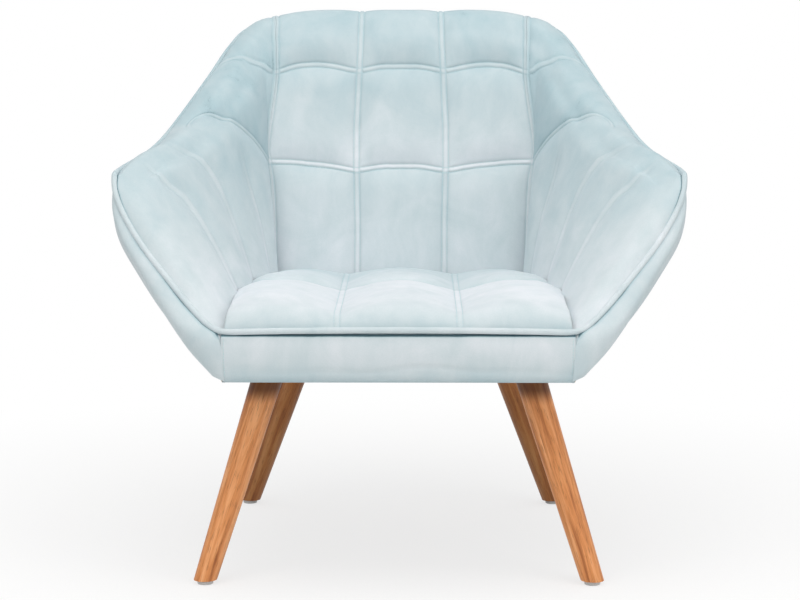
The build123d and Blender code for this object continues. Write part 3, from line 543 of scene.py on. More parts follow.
# Inside cover: quilted back, wings and arms, sewn from panels round the whole tub
insideCover = {
    "columnSeams": (-8, -7, -5.6, -3, -1, 1, 3, 5.6, 7, 8),
    # drop below the rim's crest, and how far each seam wanders from its station there, outwards
    "slides": {1: [(0, -6), (72, -4), (115, -2), (163, 0), (205, 2), (267, 2), (350, 0)],
               3: [(0, -17), (20, -13.5), (45, -10), (80, -8), (110, -8), (130, -5.7), (150, -2.8), (170, .4), (190, 4),
                   (210, 7.5), (228, 9.5), (245, 6), (270, 1.4), (300, -1.2), (340, -3), (420, -5)],
               5.6: [(0, 16), (120, 13), (162, 2), (223, -10), (309, -20)],
               7: [(0, 34), (20, 30), (35, 20), (51, 8), (85, -8), (120, -16), (156, -16), (200, -13)],
               8: [(0, 30), (31, 28), (62, 26), (97, 3), (141, -5), (221, -8)]},
    # drops over which a seam begins to show, the others being sewn all the way
    "seamStarts": {5.6: (94, 169), 7: (0, 80), 8: (0, 80)}, "sewnAll": (-900, -800),
    # row seams: station, drop below the crest
    "upperRow": [(0, 108), (.5, 109), (1, 117), (1.5, 107), (2, 103), (2.5, 105), (2.75, 110), (2.92, 108), (3.2, 95),
                 (3.5, 85), (3.85, 72), (4.05, 61), (4.2, 52), (4.37, 42), (4.5, 28), (4.62, 8), (4.75, -3), (4.9, -6),
                 (5.3, -5), (6, -5), (9, -5)],
    "lowerRow": [(0, 266), (.5, 267), (1, 274), (1.5, 266), (2, 261), (2.5, 253), (3, 246), (3.6, 229), (3.9, 216),
                 (4.2, 199), (4.5, 181), (4.8, 159), (5, 140), (5.2, 119), (5.4, 94), (5.5, 81), (5.6, 69), (5.7, 54),
                 (5.8, 40), (5.96, 26), (6.1, 20), (6.3, 20), (6.7, 32), (9, 48)],
    "rowFades": ((4.65, 4.95), (6.0, 6.3)), "rowGap": 14, "rowBlurs": ((3, 3.5), (.22, .12)),
    "hemLevels": [345] * 9 + [337], "rollDrop": 22, "upperDrop": 56, "lowerDrop": 249, "hemGap": 30,
    "weltX": 13.5, "weltRise": 1.5, "rimRolls": [14.2, 14.2, 14.2, 13.8, 13, 13, 11, 9, 8, 8],
    "rimCrests": [.1, .1, .1, .05, -.06, -.06, -.04, .05, .1, .1],
    "lowFullness": [0] * 6 + [-5, -11, -9, 28],         # extra depth of the arm pads beside the seat
    "places": (0, 2.9, 3.15, 3.8, 4.6, 6.8, 7.2, 10), "swells": (11, 11, 4, 5, 9, 12, 12, 12),
    "rimSwells": (.2, .2, .2, .2, .17, .12, .1, .1), "rimFade": (-12, 75), "rimWidth": 26,
    "panelWidth": 42, "frontWidth": 55, "wingNarrowing": 1.5, "cap": 6, "fill": .85,
    "strip": {"half": 3.6, "raise": .7, "pull": 1.1, "pale": .16, "creaseShade": .34},
    "armStrip": {"half": 7.0, "raise": .6, "pull": .7, "pale": .2, "creaseShade": .08},
    "columnStep": 6.0, "rowLines": (16, 22, 24), "wrapLines": 16, "backingRows": 12, "normalPasses": 24,
    "core": (0, -60, 560), "cornerShade": .8, "cornerWidth": 1.5, "cornerFrom": (470, 70),
    "midHeight": .55, "rimRoom": 12, "rimBlend": .8, "narrowingFrom": (2.9, 3.3), "frontTurn": .3,
    "pinWidth": 1.5, "pinShare": .7, "heldWidth": 12, "detailFrom": 12,
    # the profile: share towards the welt and of the rim's roll, then shares of the pad's depth
    "shoulder": (.72, .62), "behindCrest": .45, "crestFall": 4, "rollDepth": .66, "upperDepth": .85, "lowShare": .35,
}
# The turn round an arm's front: lines closer together towards the welt, a nose, columns that give its direction
wrapTurn = {"crowding": 1.6, "nose": .6, "lead": 5}


def insideProfile(number, samples=900):
    # from the welt over the roll and down to below the seat, with its lengths measured from the crest
    cover, axes = insideCover, stationAxes(number)
    depth, share, extra, hem, rim, crest = (readLine(line, number) for line in (
        padDepths, rowShares, cover["lowFullness"], cover["hemLevels"], cover["rimRolls"], cover["rimCrests"]))
    length, low, crest = axes[4], depth + extra, -depth * crest
    bottom = levelY(axes, hem, -low)
    lower = max(length - cover["lowerDrop"] * share, bottom + cover["hemGap"])
    roll = length - cover["rollDrop"]
    path = smoothPath([
        (cover["weltX"], length + cover["weltRise"]),
        (between(crest, cover["weltX"], cover["shoulder"][0]), length + cover["shoulder"][1] * rim),
        (crest, length + rim), (-cover["behindCrest"] * depth, length + cover["crestFall"]),
        (-cover["rollDepth"] * depth, roll),
        (-cover["upperDepth"] * depth, roll - cover["upperDrop"] * share),
        (-between(depth, low, cover["lowShare"]), between(lower, bottom, cover["lowShare"])), (-low, bottom)], samples)
    lengths = runOf(path)
    return axes, path, lengths - lengths[np.argmax(path[:, 1])]


def smoothRow(row, number):
    # a row seam's drop below the rim's crest, rounded between its points
    blur = np.interp(np.abs(number), *insideCover["rowBlurs"])
    return np.mean([np.interp(np.abs(number) + shift * blur, *zip(*row)) for shift in np.linspace(-1, 1, 9)], axis=0)


def fade(value, limits):
    return 1 - smoothStep(value, limits[0], limits[1] - limits[0])


def wrapFront(columns, goal, lines):
    # cover carried round the arm's front edge to the welt, leaving in the direction it arrives
    edge = columns[-1]
    ahead = unit(edge - columns[-wrapTurn["lead"]])
    nose = edge + ahead * (wrapTurn["nose"] * np.linalg.norm(goal - edge, axis=1))[:, None]
    share = 1 - (1 - np.linspace(0, 1, lines + 1)[1:, None, None]) ** wrapTurn["crowding"]
    return (1 - share) ** 2 * edge + 2 * share * (1 - share) * nose + share ** 2 * goal


def slideSeams(points, drops, lines, stops, places, slides):
    # carries the columns along their rows, so that each seam follows its own line
    columns = [int(np.argmin(np.abs(lines - place))) for place in places]
    fields = np.concatenate([points, drops[..., None]], -1)
    slid = np.empty_like(fields)
    for row in range(drops.shape[1]):
        shifts = [np.sign(stop) * np.interp(drops[column, row], *zip(*slides.get(abs(stop), [(0, 0)])))
                  for stop, column in zip(stops, columns)]
        slid[:, row] = readAt(fields[:, row], lines, lines + np.interp(lines, places, shifts))
    return slid[..., :3], slid[..., 3]


def insideGrid(cover):
    # one grid from welt to welt: columns follow the stations, rows follow the row seams
    fine = np.linspace(-armFront, armFront, 1801)
    axes = stationAxes(fine)
    run = runOf(onStation(axes, -readLine(padDepths, fine), cover["midHeight"] * axes[4]))
    stops = [-armFront, *cover["columnSeams"], armFront]
    places = np.interp(stops, fine, run)
    lines = [spaceLines(start, end, max(int((end - start - 2 * seamLines[-1]) / cover["columnStep"]), 4))[:-1]
             for start, end in zip(places, places[1:])]
    lines = np.concatenate(lines + [places[-1:]])
    numbers = np.interp(lines, run, fine)
    upper = smoothRow(cover["upperRow"], numbers)
    lower = np.maximum(smoothRow(cover["lowerRow"], numbers), upper + cover["rowGap"])
    points, drops = [], []
    for number, high, low in zip(numbers, upper, lower):
        axes, path, lengths = insideProfile(number)
        ends = [lengths[0], max(high, lengths[0] + cover["rimRoom"]), low, lengths[-1]]
        blocks = [spaceLines(*pair) for pair in zip(ends, ends[1:], cover["rowLines"])]
        rows = np.concatenate([blocks[0][:-1], blocks[1][:-1], blocks[2]])
        points.append(onStation(axes, *readAt(path, lengths, rows).T))
        drops.append(rows)
    rowSeams = np.cumsum([len(block) - 1 for block in blocks[:2]])
    points, drops = slideSeams(np.array(points), np.array(drops), lines, stops, places, cover["slides"])
    # both ends are carried on round the arm fronts, where the rim's rows end along the welt
    front = stationAxes(armFront)
    heights = clamp((points[-1] - front[0]) @ front[2] / front[4])
    goal = frontEdgeAt(np.where(drops[-1] < 0, 1, heights))
    goal = between(goal, points[-1], cover["rimBlend"] * clamp(drops[-1] / drops[-1, 0])[:, None])
    wrap = wrapFront(points, goal, cover["wrapLines"])
    ends = len(wrap)
    points = np.concatenate([wrap[::-1] * left, points, wrap])
    drops = np.concatenate([drops[:1].repeat(ends, 0), drops, drops[-1:].repeat(ends, 0)])
    beyond = armFront + np.linspace(0, 1, ends + 1)[1:]
    numbers = np.concatenate([-beyond[::-1], numbers, beyond])
    turn = np.cumsum(np.median(np.linalg.norm(np.diff(points, axis=0), axis=2)[-ends:], axis=1))
    lines = np.concatenate([lines[0] - turn[::-1], lines, lines[-1] + turn])
    edgeGap = np.minimum(lines - lines[0], lines[-1] - lines)
    # distance from each seam, how far it is sewn there, and its strip
    seams = []
    for stop, place in zip(stops[1:-1], places[1:-1]):
        sewn = 1 - fade(drops, cover["seamStarts"].get(abs(stop), cover["sewnAll"]))
        seams.append((np.abs(lines - place)[:, None], sewn, cover["armStrip" if abs(stop) > 4 else "strip"]))
    narrowing = np.interp(np.abs(numbers), cover["narrowingFrom"], (1, cover["wingNarrowing"]))[:, None]
    for row, limits in zip(rowSeams, cover["rowFades"]):
        slope = np.gradient(drops[:, row], lines)[:, None]
        gap = np.abs(drops - drops[:, row:row + 1]) / np.sqrt(1 + slope ** 2) * narrowing
        seams.append((gap, fade(np.abs(numbers)[:, None], limits), cover["strip"]))
    return numbers, points, drops, rowSeams, seams, edgeGap


def dressInside(cover):
    numbers, base, drops, rowSeams, seams, edgeGap = insideGrid(cover)
    place, below = np.abs(numbers)[:, None], drops - drops[:, :1]
    puff = np.interp(place, cover["places"], cover["swells"]) * swell(edgeGap, cover["frontWidth"])[:, None]
    rimShare = np.interp(place, cover["places"], cover["rimSwells"])
    puff = puff * between(rimShare, 1, smoothStep(drops, *cover["rimFade"])) * swell(below, cover["rimWidth"])
    detail, held, tone = 0 * drops, 0 * drops, insideNapAndShade(place, drops, rowSeams, base)
    pinned = place > armFront + cover["frontTurn"]
    for gap, sewn, strip in seams:
        beside = np.maximum(gap - strip["half"], 0)
        puff = puff * (1 - sewn * (1 - swell(beside, cover["panelWidth"])))
        relief = seamStrip(gap, strip) * sewn * clamp(below / cover["detailFrom"])
        detail = np.where(np.abs(detail) > .3, detail, detail + relief)         # the first seam wins at a crossing
        tone = tone + seamTone(gap, strip) * sewn
        pinned = pinned | ((beside < cover["pinWidth"]) & (sewn > cover["pinShare"]))
        held = np.maximum(held, smoothStep(sewn, 0, cover["pinShare"]) * (1 - swell(beside, cover["heldWidth"])))
    normals = unit(evenOut(gridNormals(base), cover["normalPasses"]))
    inward = np.sign(np.sum(normals * (cover["core"] - base), -1).mean())
    normals = normals * inward
    shaped = puffOut("inside cover", base, normals, puff, pinned, 1 - held, cover["cap"], inward)
    shaped = shaped + normals * detail[..., None]
    # painted shade: a fine dark line inside the arm's corner, beside the welt
    corner = smoothStep(shaped[..., 2], *cover["cornerFrom"]) * smoothStep(place, armFront, cover["frontTurn"])
    tone = np.maximum(tone, .02) - cover["cornerShade"] * corner * besideWelt(shaped, cover["cornerWidth"])
    return numbers, shaped, gridNormals(shaped) * inward, rowSeams, tone


# Painted light and shade, 0 dark to 1 pale, partly the way the pile lies: darker high on each of the back's panels and
# on the wings, paler towards the panels' lower edges and low on the arms
insideTones = {"topRow": (.12, .3), "middleRow": (.25, .78), "lowRow": (.42, .72), "lowReach": 150, "wing": .1,
               "armHeights": (390, 470, 560, 620), "armTones": (.74, .46, .26, .18), "middlePower": 1.3,
               "wingEdge": (-6, 12), "wingFade": (5.6, 6.2), "armFrom": (2.95, .12), "backing": .5, "ends": .4}


def insideNapAndShade(place, drops, rowSeams, points):
    upper, lower = (drops[:, row:row + 1] for row in rowSeams)
    back = between(*insideTones["topRow"], clamp(drops / upper))
    share = clamp((drops - upper) / np.maximum(lower - upper, 1))
    back = np.where(drops > upper, between(*insideTones["middleRow"], share ** insideTones["middlePower"]), back)
    share = clamp((drops - lower) / insideTones["lowReach"])
    back = np.where(drops > lower, between(*insideTones["lowRow"], share), back)
    arm = np.interp(points[..., 2], insideTones["armHeights"], insideTones["armTones"])
    onWing = (1 - smoothStep(drops - lower, *insideTones["wingEdge"])) * fade(place, insideTones["wingFade"])
    return between(back, between(arm, insideTones["wing"], onWing), smoothStep(place, *insideTones["armFrom"]))


def closedPad(name, points, backing, napAndShade):
    # a quilted face, closed behind along its panel and at both ends
    loop = np.concatenate([points, backing], axis=1)
    tones = np.concatenate([napAndShade, np.full(backing.shape[:2], insideTones["backing"])], axis=1).ravel()
    columns, rows = loop.shape[:2]
    faces = gridFaces(columns, rows, wrapColumns=True)
    vertices = loop.reshape(-1, 3)
    share = np.linspace(0, 1, points.shape[1])
    for end, flip in ((0, -1), (columns - 1, 1)):
        first, start = end * rows, len(vertices)
        faces += [(first + row, first + row + 1, start + row + 1, start + row)[::flip] for row in range(len(share) - 1)]
        rest = readAt(backing[end][::-1], np.linspace(0, 1, backing.shape[1]), share)
        vertices = np.concatenate([vertices, rest])
        tones = np.concatenate([tones, np.full(len(rest), insideTones["ends"])])
    newPiece("quilted_" + name, vertices, faces, velvet, [name], tones)


def padBacking(numbers):
    # the panel's face behind the pad, drawn in to the welt where the cover turns the arm's front
    axes = [part[:, None] for part in stationAxes(np.clip(numbers, -armFront, armFront))]
    low = levelY(axes, insideCover["hemLevels"][-1], -1.0)
    heights = between(low, axes[4] + 1, np.linspace(0, 1, insideCover["backingRows"]))
    goal = frontEdgeAt(heights / axes[4]) * np.where(numbers[:, None, None] < 0, left, 1) - axes[3] * 2.5
    return between(onStation(axes, -1, heights), goal, clamp(np.abs(numbers) - armFront)[:, None, None])


insideNumbers, insidePoints, insideNormals, insideRows, insideTone = dressInside(insideCover)
for name, low, high in (("arm_pad_left", -10, -3), ("back_pad", -3, 3), ("arm_pad_right", 3, 10)):
    chosen = (insideNumbers >= low - 1e-4) & (insideNumbers <= high + 1e-4)
    closedPad(name, insidePoints[chosen], padBacking(insideNumbers[chosen]), insideTone[chosen])
print("inside cover made:", insidePoints.shape[:2])


# Outside covers: plain velvet over a thin pad, taut, turned under at the bottom and round the arm's front
outsideCover = {
    "highFullness": [0] * 6 + [2, 6, 9, 5], "lowTaper": [2, 2, 2, 3, 4, 6, 8, 10, 10, 10], "taperHeight": 62,
    "topTucks": [0] * 7 + [1, 4, 9], "clear": .3, "below": .6, "turnUnder": 10, "turnPasses": 4,
    "columnStep": 14, "backRun": 460, "armRun": 640, "rows": 34, "rowCrowding": 1.35, "wrapLines": 14,
    # tone of the outside covers: painted shade, darkest in a line below the welt
    "napAndShade": .45, "creaseShade": .95, "creaseShadeWidth": 2.2, "creaseShadeFrom": (-165, 150), "thickness": 3.0, "fill": .9,
    "fullAt": .76, "fullWidth": .17, "tuckFrom": .84, "tuckReach": .16, "tuckDepth": 4,      # shares of the height
    "weltX": 5, "weltRise": 1.5, "hemPoints": 15, "measuredAt": (24, 200),
}


def outsideProfile(axes, bulge, fullness, taper, tucked):
    cover, turn, length = outsideCover, outsideCover["turnUnder"], axes[4]
    inner = chairLines["panel"] + cover["clear"]
    outer = inner + chairLines["cover"]
    under = levelY(axes, chairLines["underside"] - cover["below"], outer)
    share = 1 - np.linspace(0, 1, cover["rows"]) ** cover["rowCrowding"]      # closer together below the welt
    x = outer + bulge * 4 * share * (1 - share) + fullness * bell(share - cover["fullAt"], cover["fullWidth"])
    x = x - (cover["tuckDepth"] + tucked) * clamp((share - cover["tuckFrom"]) / cover["tuckReach"]) ** 2
    y = under + turn + share * (length - under - turn)
    x = x - taper * clamp(1 - (y - under) / cover["taperHeight"]) ** 2
    tuck = np.linspace(0, 1, 6)[1:] * np.pi / 2
    x = np.concatenate([[inner + cover["weltX"] - tucked], x, x[-1] - turn + turn * np.cos(tuck)])
    y = np.concatenate([[length + cover["weltRise"]], y, under + turn - turn * np.sin(tuck)])
    roundOff(x[-cover["hemPoints"]:], cover["turnPasses"])          # the turn under leaves the face without a crease
    return x, y


def outsideGrid(low, high, count):
    fine = np.linspace(low, high, 400)
    run = runOf(onStation(stationAxes(fine), *outsideCover["measuredAt"]))
    shapes = (coverBulges, outsideCover["highFullness"], outsideCover["lowTaper"], outsideCover["topTucks"])
    columns = []
    for number in np.interp(spaceLines(0, run[-1], count), run, fine):
        axes = stationAxes(number)
        columns.append(onStation(axes, *outsideProfile(axes, *(readLine(shape, number) for shape in shapes))))
    return np.array(columns)


def shellPiece(name, points, nodes, napAndShade, thickness):
    # a cover with an inner face, so that it has the thickness of cloth over wadding
    normals = gridNormals(points)
    middle = points.reshape(-1, 3).mean(0) * (0, 0, 1) + (0, -40, 0)
    side = np.sign(np.sum(normals * (points - middle), -1).mean())
    inner = points - normals * side * thickness
    inner[..., 2] = np.maximum(inner[..., 2], points[..., 2].min() + .3)
    columns, rows = points.shape[:2]
    faces = gridFaces(columns, 2 * rows, wrapColumns=True)
    for first in (0, (columns - 1) * 2 * rows):
        last = first + 2 * rows - 1
        faces += [(first + row, first + row + 1, last - 1 - row, last - row) for row in range(rows - 1)]
    tone = np.broadcast_to(napAndShade, points.shape[:2])
    newPiece(name, np.concatenate([points, inner[:, ::-1]], axis=1), faces, velvet, nodes,
             np.concatenate([tone, tone[:, ::-1]], axis=1))


def makeOutside(cover):
    points = outsideGrid(-3, 3, int(cover["backRun"] / cover["columnStep"]))
    shellPiece("outside_back_cover", points, ["outer_back_cover"], cover["napAndShade"], cover["thickness"])
    points = outsideGrid(3, armFront, int(cover["armRun"] / cover["columnStep"]))
    # each height meets the front edge at the like height, and below the welt at the apron's seam
    level = points[-1, :, 2]
    level = between(frontEdge[0, 3], frontEdge[-1, 3], clamp((level - level.min()) / np.ptp(level)))
    goal = frontEdgeAt(np.interp(level, frontEdge[:, 3], frontEdge[:, 0]))
    points = np.concatenate([points, wrapFront(points, goal, cover["wrapLines"])])
    # painted shade in a line below the welt, most of all low on the arm fronts
    low = smoothStep(-points[..., 1], -cover["creaseShadeFrom"][0], cover["creaseShadeFrom"][1])
    napAndShade = cover["napAndShade"] - cover["creaseShade"] * low * besideWelt(points, cover["creaseShadeWidth"])
    for side, mirror in (("right", 1), ("left", left)):
        nodes = ["outer_arm_cover_" + side, "arm_facing_" + side]
        shellPiece("outside_arm_cover_" + side, points * mirror, nodes, napAndShade, cover["thickness"])


makeOutside(outsideCover)
print("outside covers made")


# Seat cushion: three columns, two rows, a rounded nose that drops to the welt
seatCushion = {
    "columnSeam": 82, "rowSeam": -63, "crown": 408, "swell": 24, "rowSink": .42, "sideHold": .6, "sideDrop": 2,
    "crowns": [(-318, .22), (-290, .48), (-240, .85), (-150, .95), (-70, .93), (-63, .88), (-56, .96), (-42, 1.02),
               (20, .92), (90, .62), (140, .3)],
    "frontHalfWidths": [(-325, 232), (-317, 231.5), (-305, 229.5), (-285, 228), (-250, 227), (-150, 229), (-120, 234),
                        (0, 260)],
    "rearEdge": [(0, 16), (3, 6), (14, 1), (34, 0)],        # mm in from the back, mm below the top
    "front": -322.5, "frontBottom": 364, "noseRadius": 34, "bottom": 374, "sideLevel": 393, "clear": .4,
    "backHalfWidth": 150, "channelReach": 22, "cap": 6, "fill": .8, "topFrom": 60, "topPoints": 12, "nosePoints": 13,
    "hem": 5, "pinWidth": 1.5, "valleyHold": .5, "endFrom": 8, "crossing": 5, "underInsets": (8, 40, 8),
    "strip": {"half": 3.4, "raise": .3, "pull": .7, "pale": .05, "creaseShade": .16},
    "rowStrip": {"half": 2.2, "raise": .5, "pull": 1.2, "pale": .1, "creaseShade": .34},
    "panelWidth": 52, "columnWidth": 76, "columnPower": 1.9, "sideWidth": 30, "dropWidth": 46, "endWidth": 26,
    "sideFade": 55, "columnLines": (14, 22), "rowLines": (26, 38), "stitched": slice(4, -6),
    "tones": [(-318, .36), (-300, .6), (-262, .86), (-150, .92), (-90, .95), (-66, 1.1), (-60, .45), (-44, .62),
              (0, .64), (60, .5), (120, .34)],
}


def insideAtLevel(level):
    # where the inside cover stands at a level, from mid back round to the right arm's front
    line = []
    for number, column in zip(insideNumbers, insidePoints):
        above = np.flatnonzero(column[:, 2] > level)
        if number >= 0 and len(above) and above[-1] + 1 < len(column):
            top, low = column[above[-1]], column[above[-1] + 1]
            line.append(between(top, low, (top[2] - level) / (top[2] - low[2])))
    return np.array(line)


def seatGrid(seat):
    around = insideAtLevel(seat["sideLevel"])
    isBack = around[:, 0] < seat["backHalfWidth"]
    rear = around[isBack, 1].min() - seat["clear"]
    arm = around[~isBack]
    arm = arm[np.argsort(arm[:, 1])]
    base, radius, front = seat["crown"] - seat["swell"], seat["noseRadius"], seat["front"]
    profile = [(rear - back, base - down) for back, down in seat["rearEdge"]]
    profile += [(y, base) for y in np.linspace(rear - seat["topFrom"], front + radius, seat["topPoints"])]
    nose = [(front + radius * (1 - np.sin(turn)), base - radius * (1 - np.cos(turn)))
            for turn in np.linspace(0, np.pi / 2, seat["nosePoints"])[1:-1]]
    profile += [place for place in nose if place[1] > seat["frontBottom"]]
    profile += [(front, seat["frontBottom"] - seat["hem"])]
    path = smoothPath(profile, 300)
    lengths = runOf(path)
    rowPlace = np.interp(-seat["rowSeam"], -path[:200, 0], lengths[:200])
    rows = np.concatenate([spaceLines(0, rowPlace, seat["rowLines"][0])[:-1],
                           spaceLines(rowPlace, lengths[-1], seat["rowLines"][1])])
    spine = readAt(path, lengths, rows)
    tangent = unit(np.gradient(spine, axis=0))
    normal = stacked(-tangent[:, 1], tangent[:, 0])
    normal = normal * np.sign(normal[len(normal) // 3, 1])
    # pressed level against the arms' channels
    shifts = np.linspace(-seat["channelReach"], seat["channelReach"], 9)
    half = np.mean([np.interp(spine[:, 0] + shift, arm[:, 1], arm[:, 0]) for shift in shifts], axis=0) - seat["clear"]
    half = np.minimum(half, np.interp(spine[:, 0], *zip(*seat["frontHalfWidths"])))
    column = np.full(len(rows), float(seat["columnSeam"]))
    side = spaceLines(column, half, seat["columnLines"][0])
    middle = spaceLines(-column, column, seat["columnLines"][1])
    across = np.concatenate([-side[:, ::-1], middle[:, 1:-1], side], axis=1)
    gaps = {"side": half[:, None] - np.abs(across), "column": np.abs(np.abs(across) - seat["columnSeam"]),
            "row": np.abs(rows - rowPlace)[:, None], "end": np.minimum(rows, lengths[-1] - rows)[:, None]}
    return spine, normal, across, gaps


def makeSeat(seat):
    spine, normal, across, gaps = seatGrid(seat)
    strip, rowStrip, half = seat["strip"], seat["rowStrip"], seat["strip"]["half"]
    inSide = smoothStep(gaps["side"], 0, seat["sideFade"])
    valley = (1 - swell(np.maximum(gaps["row"] - rowStrip["half"], 0), seat["panelWidth"])) * inSide
    puff = swell(np.maximum(gaps["column"] - half, 0), seat["columnWidth"], seat["columnPower"])
    puff = puff * (1 - seat["rowSink"] * valley) * between(seat["sideHold"], 1, swell(gaps["side"], seat["sideWidth"]))
    height = seat["swell"] * np.interp(spine[:, 0], *zip(*seat["crowns"]))[:, None]
    height = height * (puff * swell(gaps["end"], seat["endWidth"]))
    drop = seat["sideDrop"] * (1 - swell(gaps["side"], seat["dropWidth"]))
    normals = stacked(0 * across, normal[:, :1], normal[:, 1:])
    base = stacked(across, spine[:, :1], spine[:, 1:]) - normals * drop[..., None]
    pinned = gaps["column"] < half + seat["pinWidth"]
    shaped = puffOut("seat cushion", base, normals, height, pinned, 1 - seat["valleyHold"] * valley, seat["cap"], 1)
    detail = seamStrip(gaps["column"], strip) * clamp(gaps["end"] / seat["endFrom"])
    detail = detail + seamStrip(gaps["row"], rowStrip) * clamp(gaps["column"] / seat["crossing"]) * inSide
    shaped = shaped + normals * detail[..., None]
    under = [shaped[row] * (1, 0, 0) + (0, y, z) for row, y, z in (
        (-1, seat["front"] + seat["underInsets"][0], seat["frontBottom"]),
        (-1, seat["front"] + seat["underInsets"][1], seat["bottom"]),
        (0, shaped[0, :, 1].max() - seat["underInsets"][2], seat["bottom"]))]
    loop = np.concatenate([shaped, under])
    rows, columns = loop.shape[:2]
    end = tuple(row * columns for row in range(rows))
    faces = gridFaces(rows, columns, wrapRows=True) + [end, tuple(place + columns - 1 for place in end)[::-1]]
    # painted light and shade along the seat: pale on top, darker down the nose's front and towards the back, pale in
    # front of the row seam and dark just behind it
    tone = np.interp(spine[:, 0], *zip(*seat["tones"]))[:, None]
    tone = tone + seamTone(gaps["column"], strip) + seamTone(gaps["row"], rowStrip)
    tone = np.concatenate([tone, np.full((len(under), columns), .5)])
    newPiece("quilted_seat_cushion", loop, faces, velvet, ["seat_cushion"], tone)
    # the lines beside both column seams, for their stitches
    places = np.argsort(np.abs(gaps["column"][5] - half - stitchRow["gap"]))[:4]
    return [(shaped[seat["stitched"], place], normals[seat["stitched"], place]) for place in places]


seatLines = makeSeat(seatCushion)
print("seat cushion made")


# Apron: a padded band below the welt, creased a little above its lower edge
apron = {
    "top": 362, "face": -325.5, "swell": 4.5, "crease": 311, "creaseDepth": 1.3, "creaseWidth": 4, "turnUnder": 14,
    "bottom": 292.6, "grooveDepth": 9, "grooveHeight": 3.4, "seamDepth": 1.0, "seamWidth": 2.0, "seamShade": .06,
    "rowCrowding": 1.4, "swellReach": .9, "swellPower": .7, "wander": ((3, 47, .6), (2, 21, 0)),     # mm, mm, turn
    "creaseMean": .6, "creaseVaries": .4, "creaseLength": 80, "puckerLength": 9.0, "puckerWander": 31,
    "past": 1.5, "pucker": .5, "puckerHeight": 14, "thickness": 6.0, "lines": 110, "endCrowding": .96, "rows": 40,
    "tones": [(292, 0), (300, .3), (322, .58), (345, .7), (355, .6), (358.5, -1.2)],
}


def makeApron(a):
    share = np.linspace(0, 1, a["rows"]) ** a["rowCrowding"]         # closer together in the groove below the welt
    turn = a["turnUnder"]
    height = between(a["top"], a["bottom"] + turn, share)
    y = a["face"] - a["swell"] * np.sin(np.pi * clamp(share * a["swellReach"])) ** a["swellPower"]
    y = y + a["grooveDepth"] * bell(a["top"] - height, a["grooveHeight"])
    tuck = np.linspace(0, 1, 9)[1:] * np.pi / 2
    height = np.concatenate([height, a["bottom"] + turn - turn * np.sin(tuck)])
    y = np.concatenate([y, y[-1] + turn - turn * np.cos(tuck)])
    half = np.interp(height, frontEdge[:5, 3], frontEdge[:5, 1]) + a["past"]
    bend = np.pi / 2 * a["endCrowding"]
    across = (np.sin(np.linspace(-1, 1, a["lines"]) * bend) / np.sin(bend))[:, None] * half     # closer at the ends
    end = half - np.abs(across)
    sewn = bell(end, a["seamWidth"])
    grid = stacked(across, y, height)
    wander = sum(size * np.sin(across / length + turned) for size, length, turned in a["wander"])
    crease = bell(grid[..., 2] - a["crease"] - wander, a["creaseWidth"])
    crease = crease * (a["creaseMean"] + a["creaseVaries"] * np.sin(across / a["creaseLength"] + 1))
    pucker = a["pucker"] * np.sin(across / a["puckerLength"] + 2 * np.sin(across / a["puckerWander"]))
    pucker = pucker * bell(grid[..., 2] - a["top"], a["puckerHeight"])
    grid[..., 1] += a["creaseDepth"] * crease + pucker + a["seamDepth"] * sewn
    # painted shade on the apron: darker towards its lower edge, in a dark line under the welt and along its end seams
    tone = np.interp(grid[..., 2], *zip(*a["tones"])) - a["seamShade"] * sewn
    shellPiece("front_apron_cover", grid, ["front_apron"], tone, a["thickness"])
    return grid, end


apronGrid, apronEnd = makeApron(apron)
print("apron made")


# Stitches: thread along both edges of the seam strips, and down the apron's ends
stitching = {"pitch": 4.2, "length": 2.9, "radius": .42, "lift": .1, "sides": 6, "shares": (0, .2, .8, 1),
             "taper": (.3, 1, 1, .3), "stepFromSeam": 2, "backColumns": (-1, 1), "backReach": 2.9, "apronInset": 3.2,
             "backRows": slice(8, -12), "apronRows": slice(8, -6)}


def stitchLine(points, normals):
    # short spindles of thread, one after another along a line on the cloth
    s, count = stitching, len(stitching["shares"])
    run = runOf(points)
    starts = np.arange(s["pitch"], run[-1] - s["pitch"], s["pitch"])
    places = (starts[:, None] + s["length"] * np.array(s["shares"])).ravel()
    middle, up = readAt(points, run, places), unit(readAt(normals, run, places))
    ahead = unit(np.repeat(middle[count - 1::count] - middle[::count], count, 0))
    radius = s["radius"] * np.tile(s["taper"], len(starts))[:, None, None]
    return ringsAlong(middle + s["lift"] * up, unit(np.cross(ahead, up)), up, radius, s["sides"])


def makeStitches(name, lines):
    rings = np.concatenate([stitchLine(points, normals) for points, normals in lines])
    sides, count = stitching["sides"], len(stitching["shares"])
    faces = []
    for start in range(0, len(rings) * sides, sides * count):
        end = start + sides * count - 1
        faces += gridFaces(count, sides, wrapColumns=True, start=start)
        faces += [tuple(range(start, start + sides)), tuple(range(end, end - sides, -1))]
    newPiece(name, rings, faces, plain["spunPolyesterThread"])


def backLines():
    step, rows, lines = stitching["stepFromSeam"], stitching["backRows"], []
    for station in stitching["backColumns"]:
        column = int(np.argmin(np.abs(insideNumbers - station)))
        lines += [(insidePoints[place, rows], insideNormals[place, rows]) for place in (column - step, column + step)]
    behind = np.flatnonzero(np.abs(insideNumbers) < stitching["backReach"])
    for row in insideRows:
        lines += [(insidePoints[behind, place], insideNormals[behind, place]) for place in (row - step, row + step)]
    return lines


def apronLines():
    nearest = int(np.argmin(np.abs(apronEnd[:50, 5] - stitching["apronInset"])))
    lines = [apronGrid[column, stitching["apronRows"]] for column in (nearest, len(apronGrid) - 1 - nearest)]
    return [(line, np.zeros_like(line) + (0, -1, 0)) for line in lines]


makeStitches("back_stitches", backLines())
makeStitches("seat_stitches", seatLines)
makeStitches("apron_stitches", apronLines())
print("stitches made")


# Dust cover: thin cloth stapled under the frame, with a window at each leg plate
dustCover = {"inset": 6, "step": 14, "columns": 45, "sag": 2.2, "lift": .1, "window": 32,
             "plates": ((179, -196), (142, 150))}


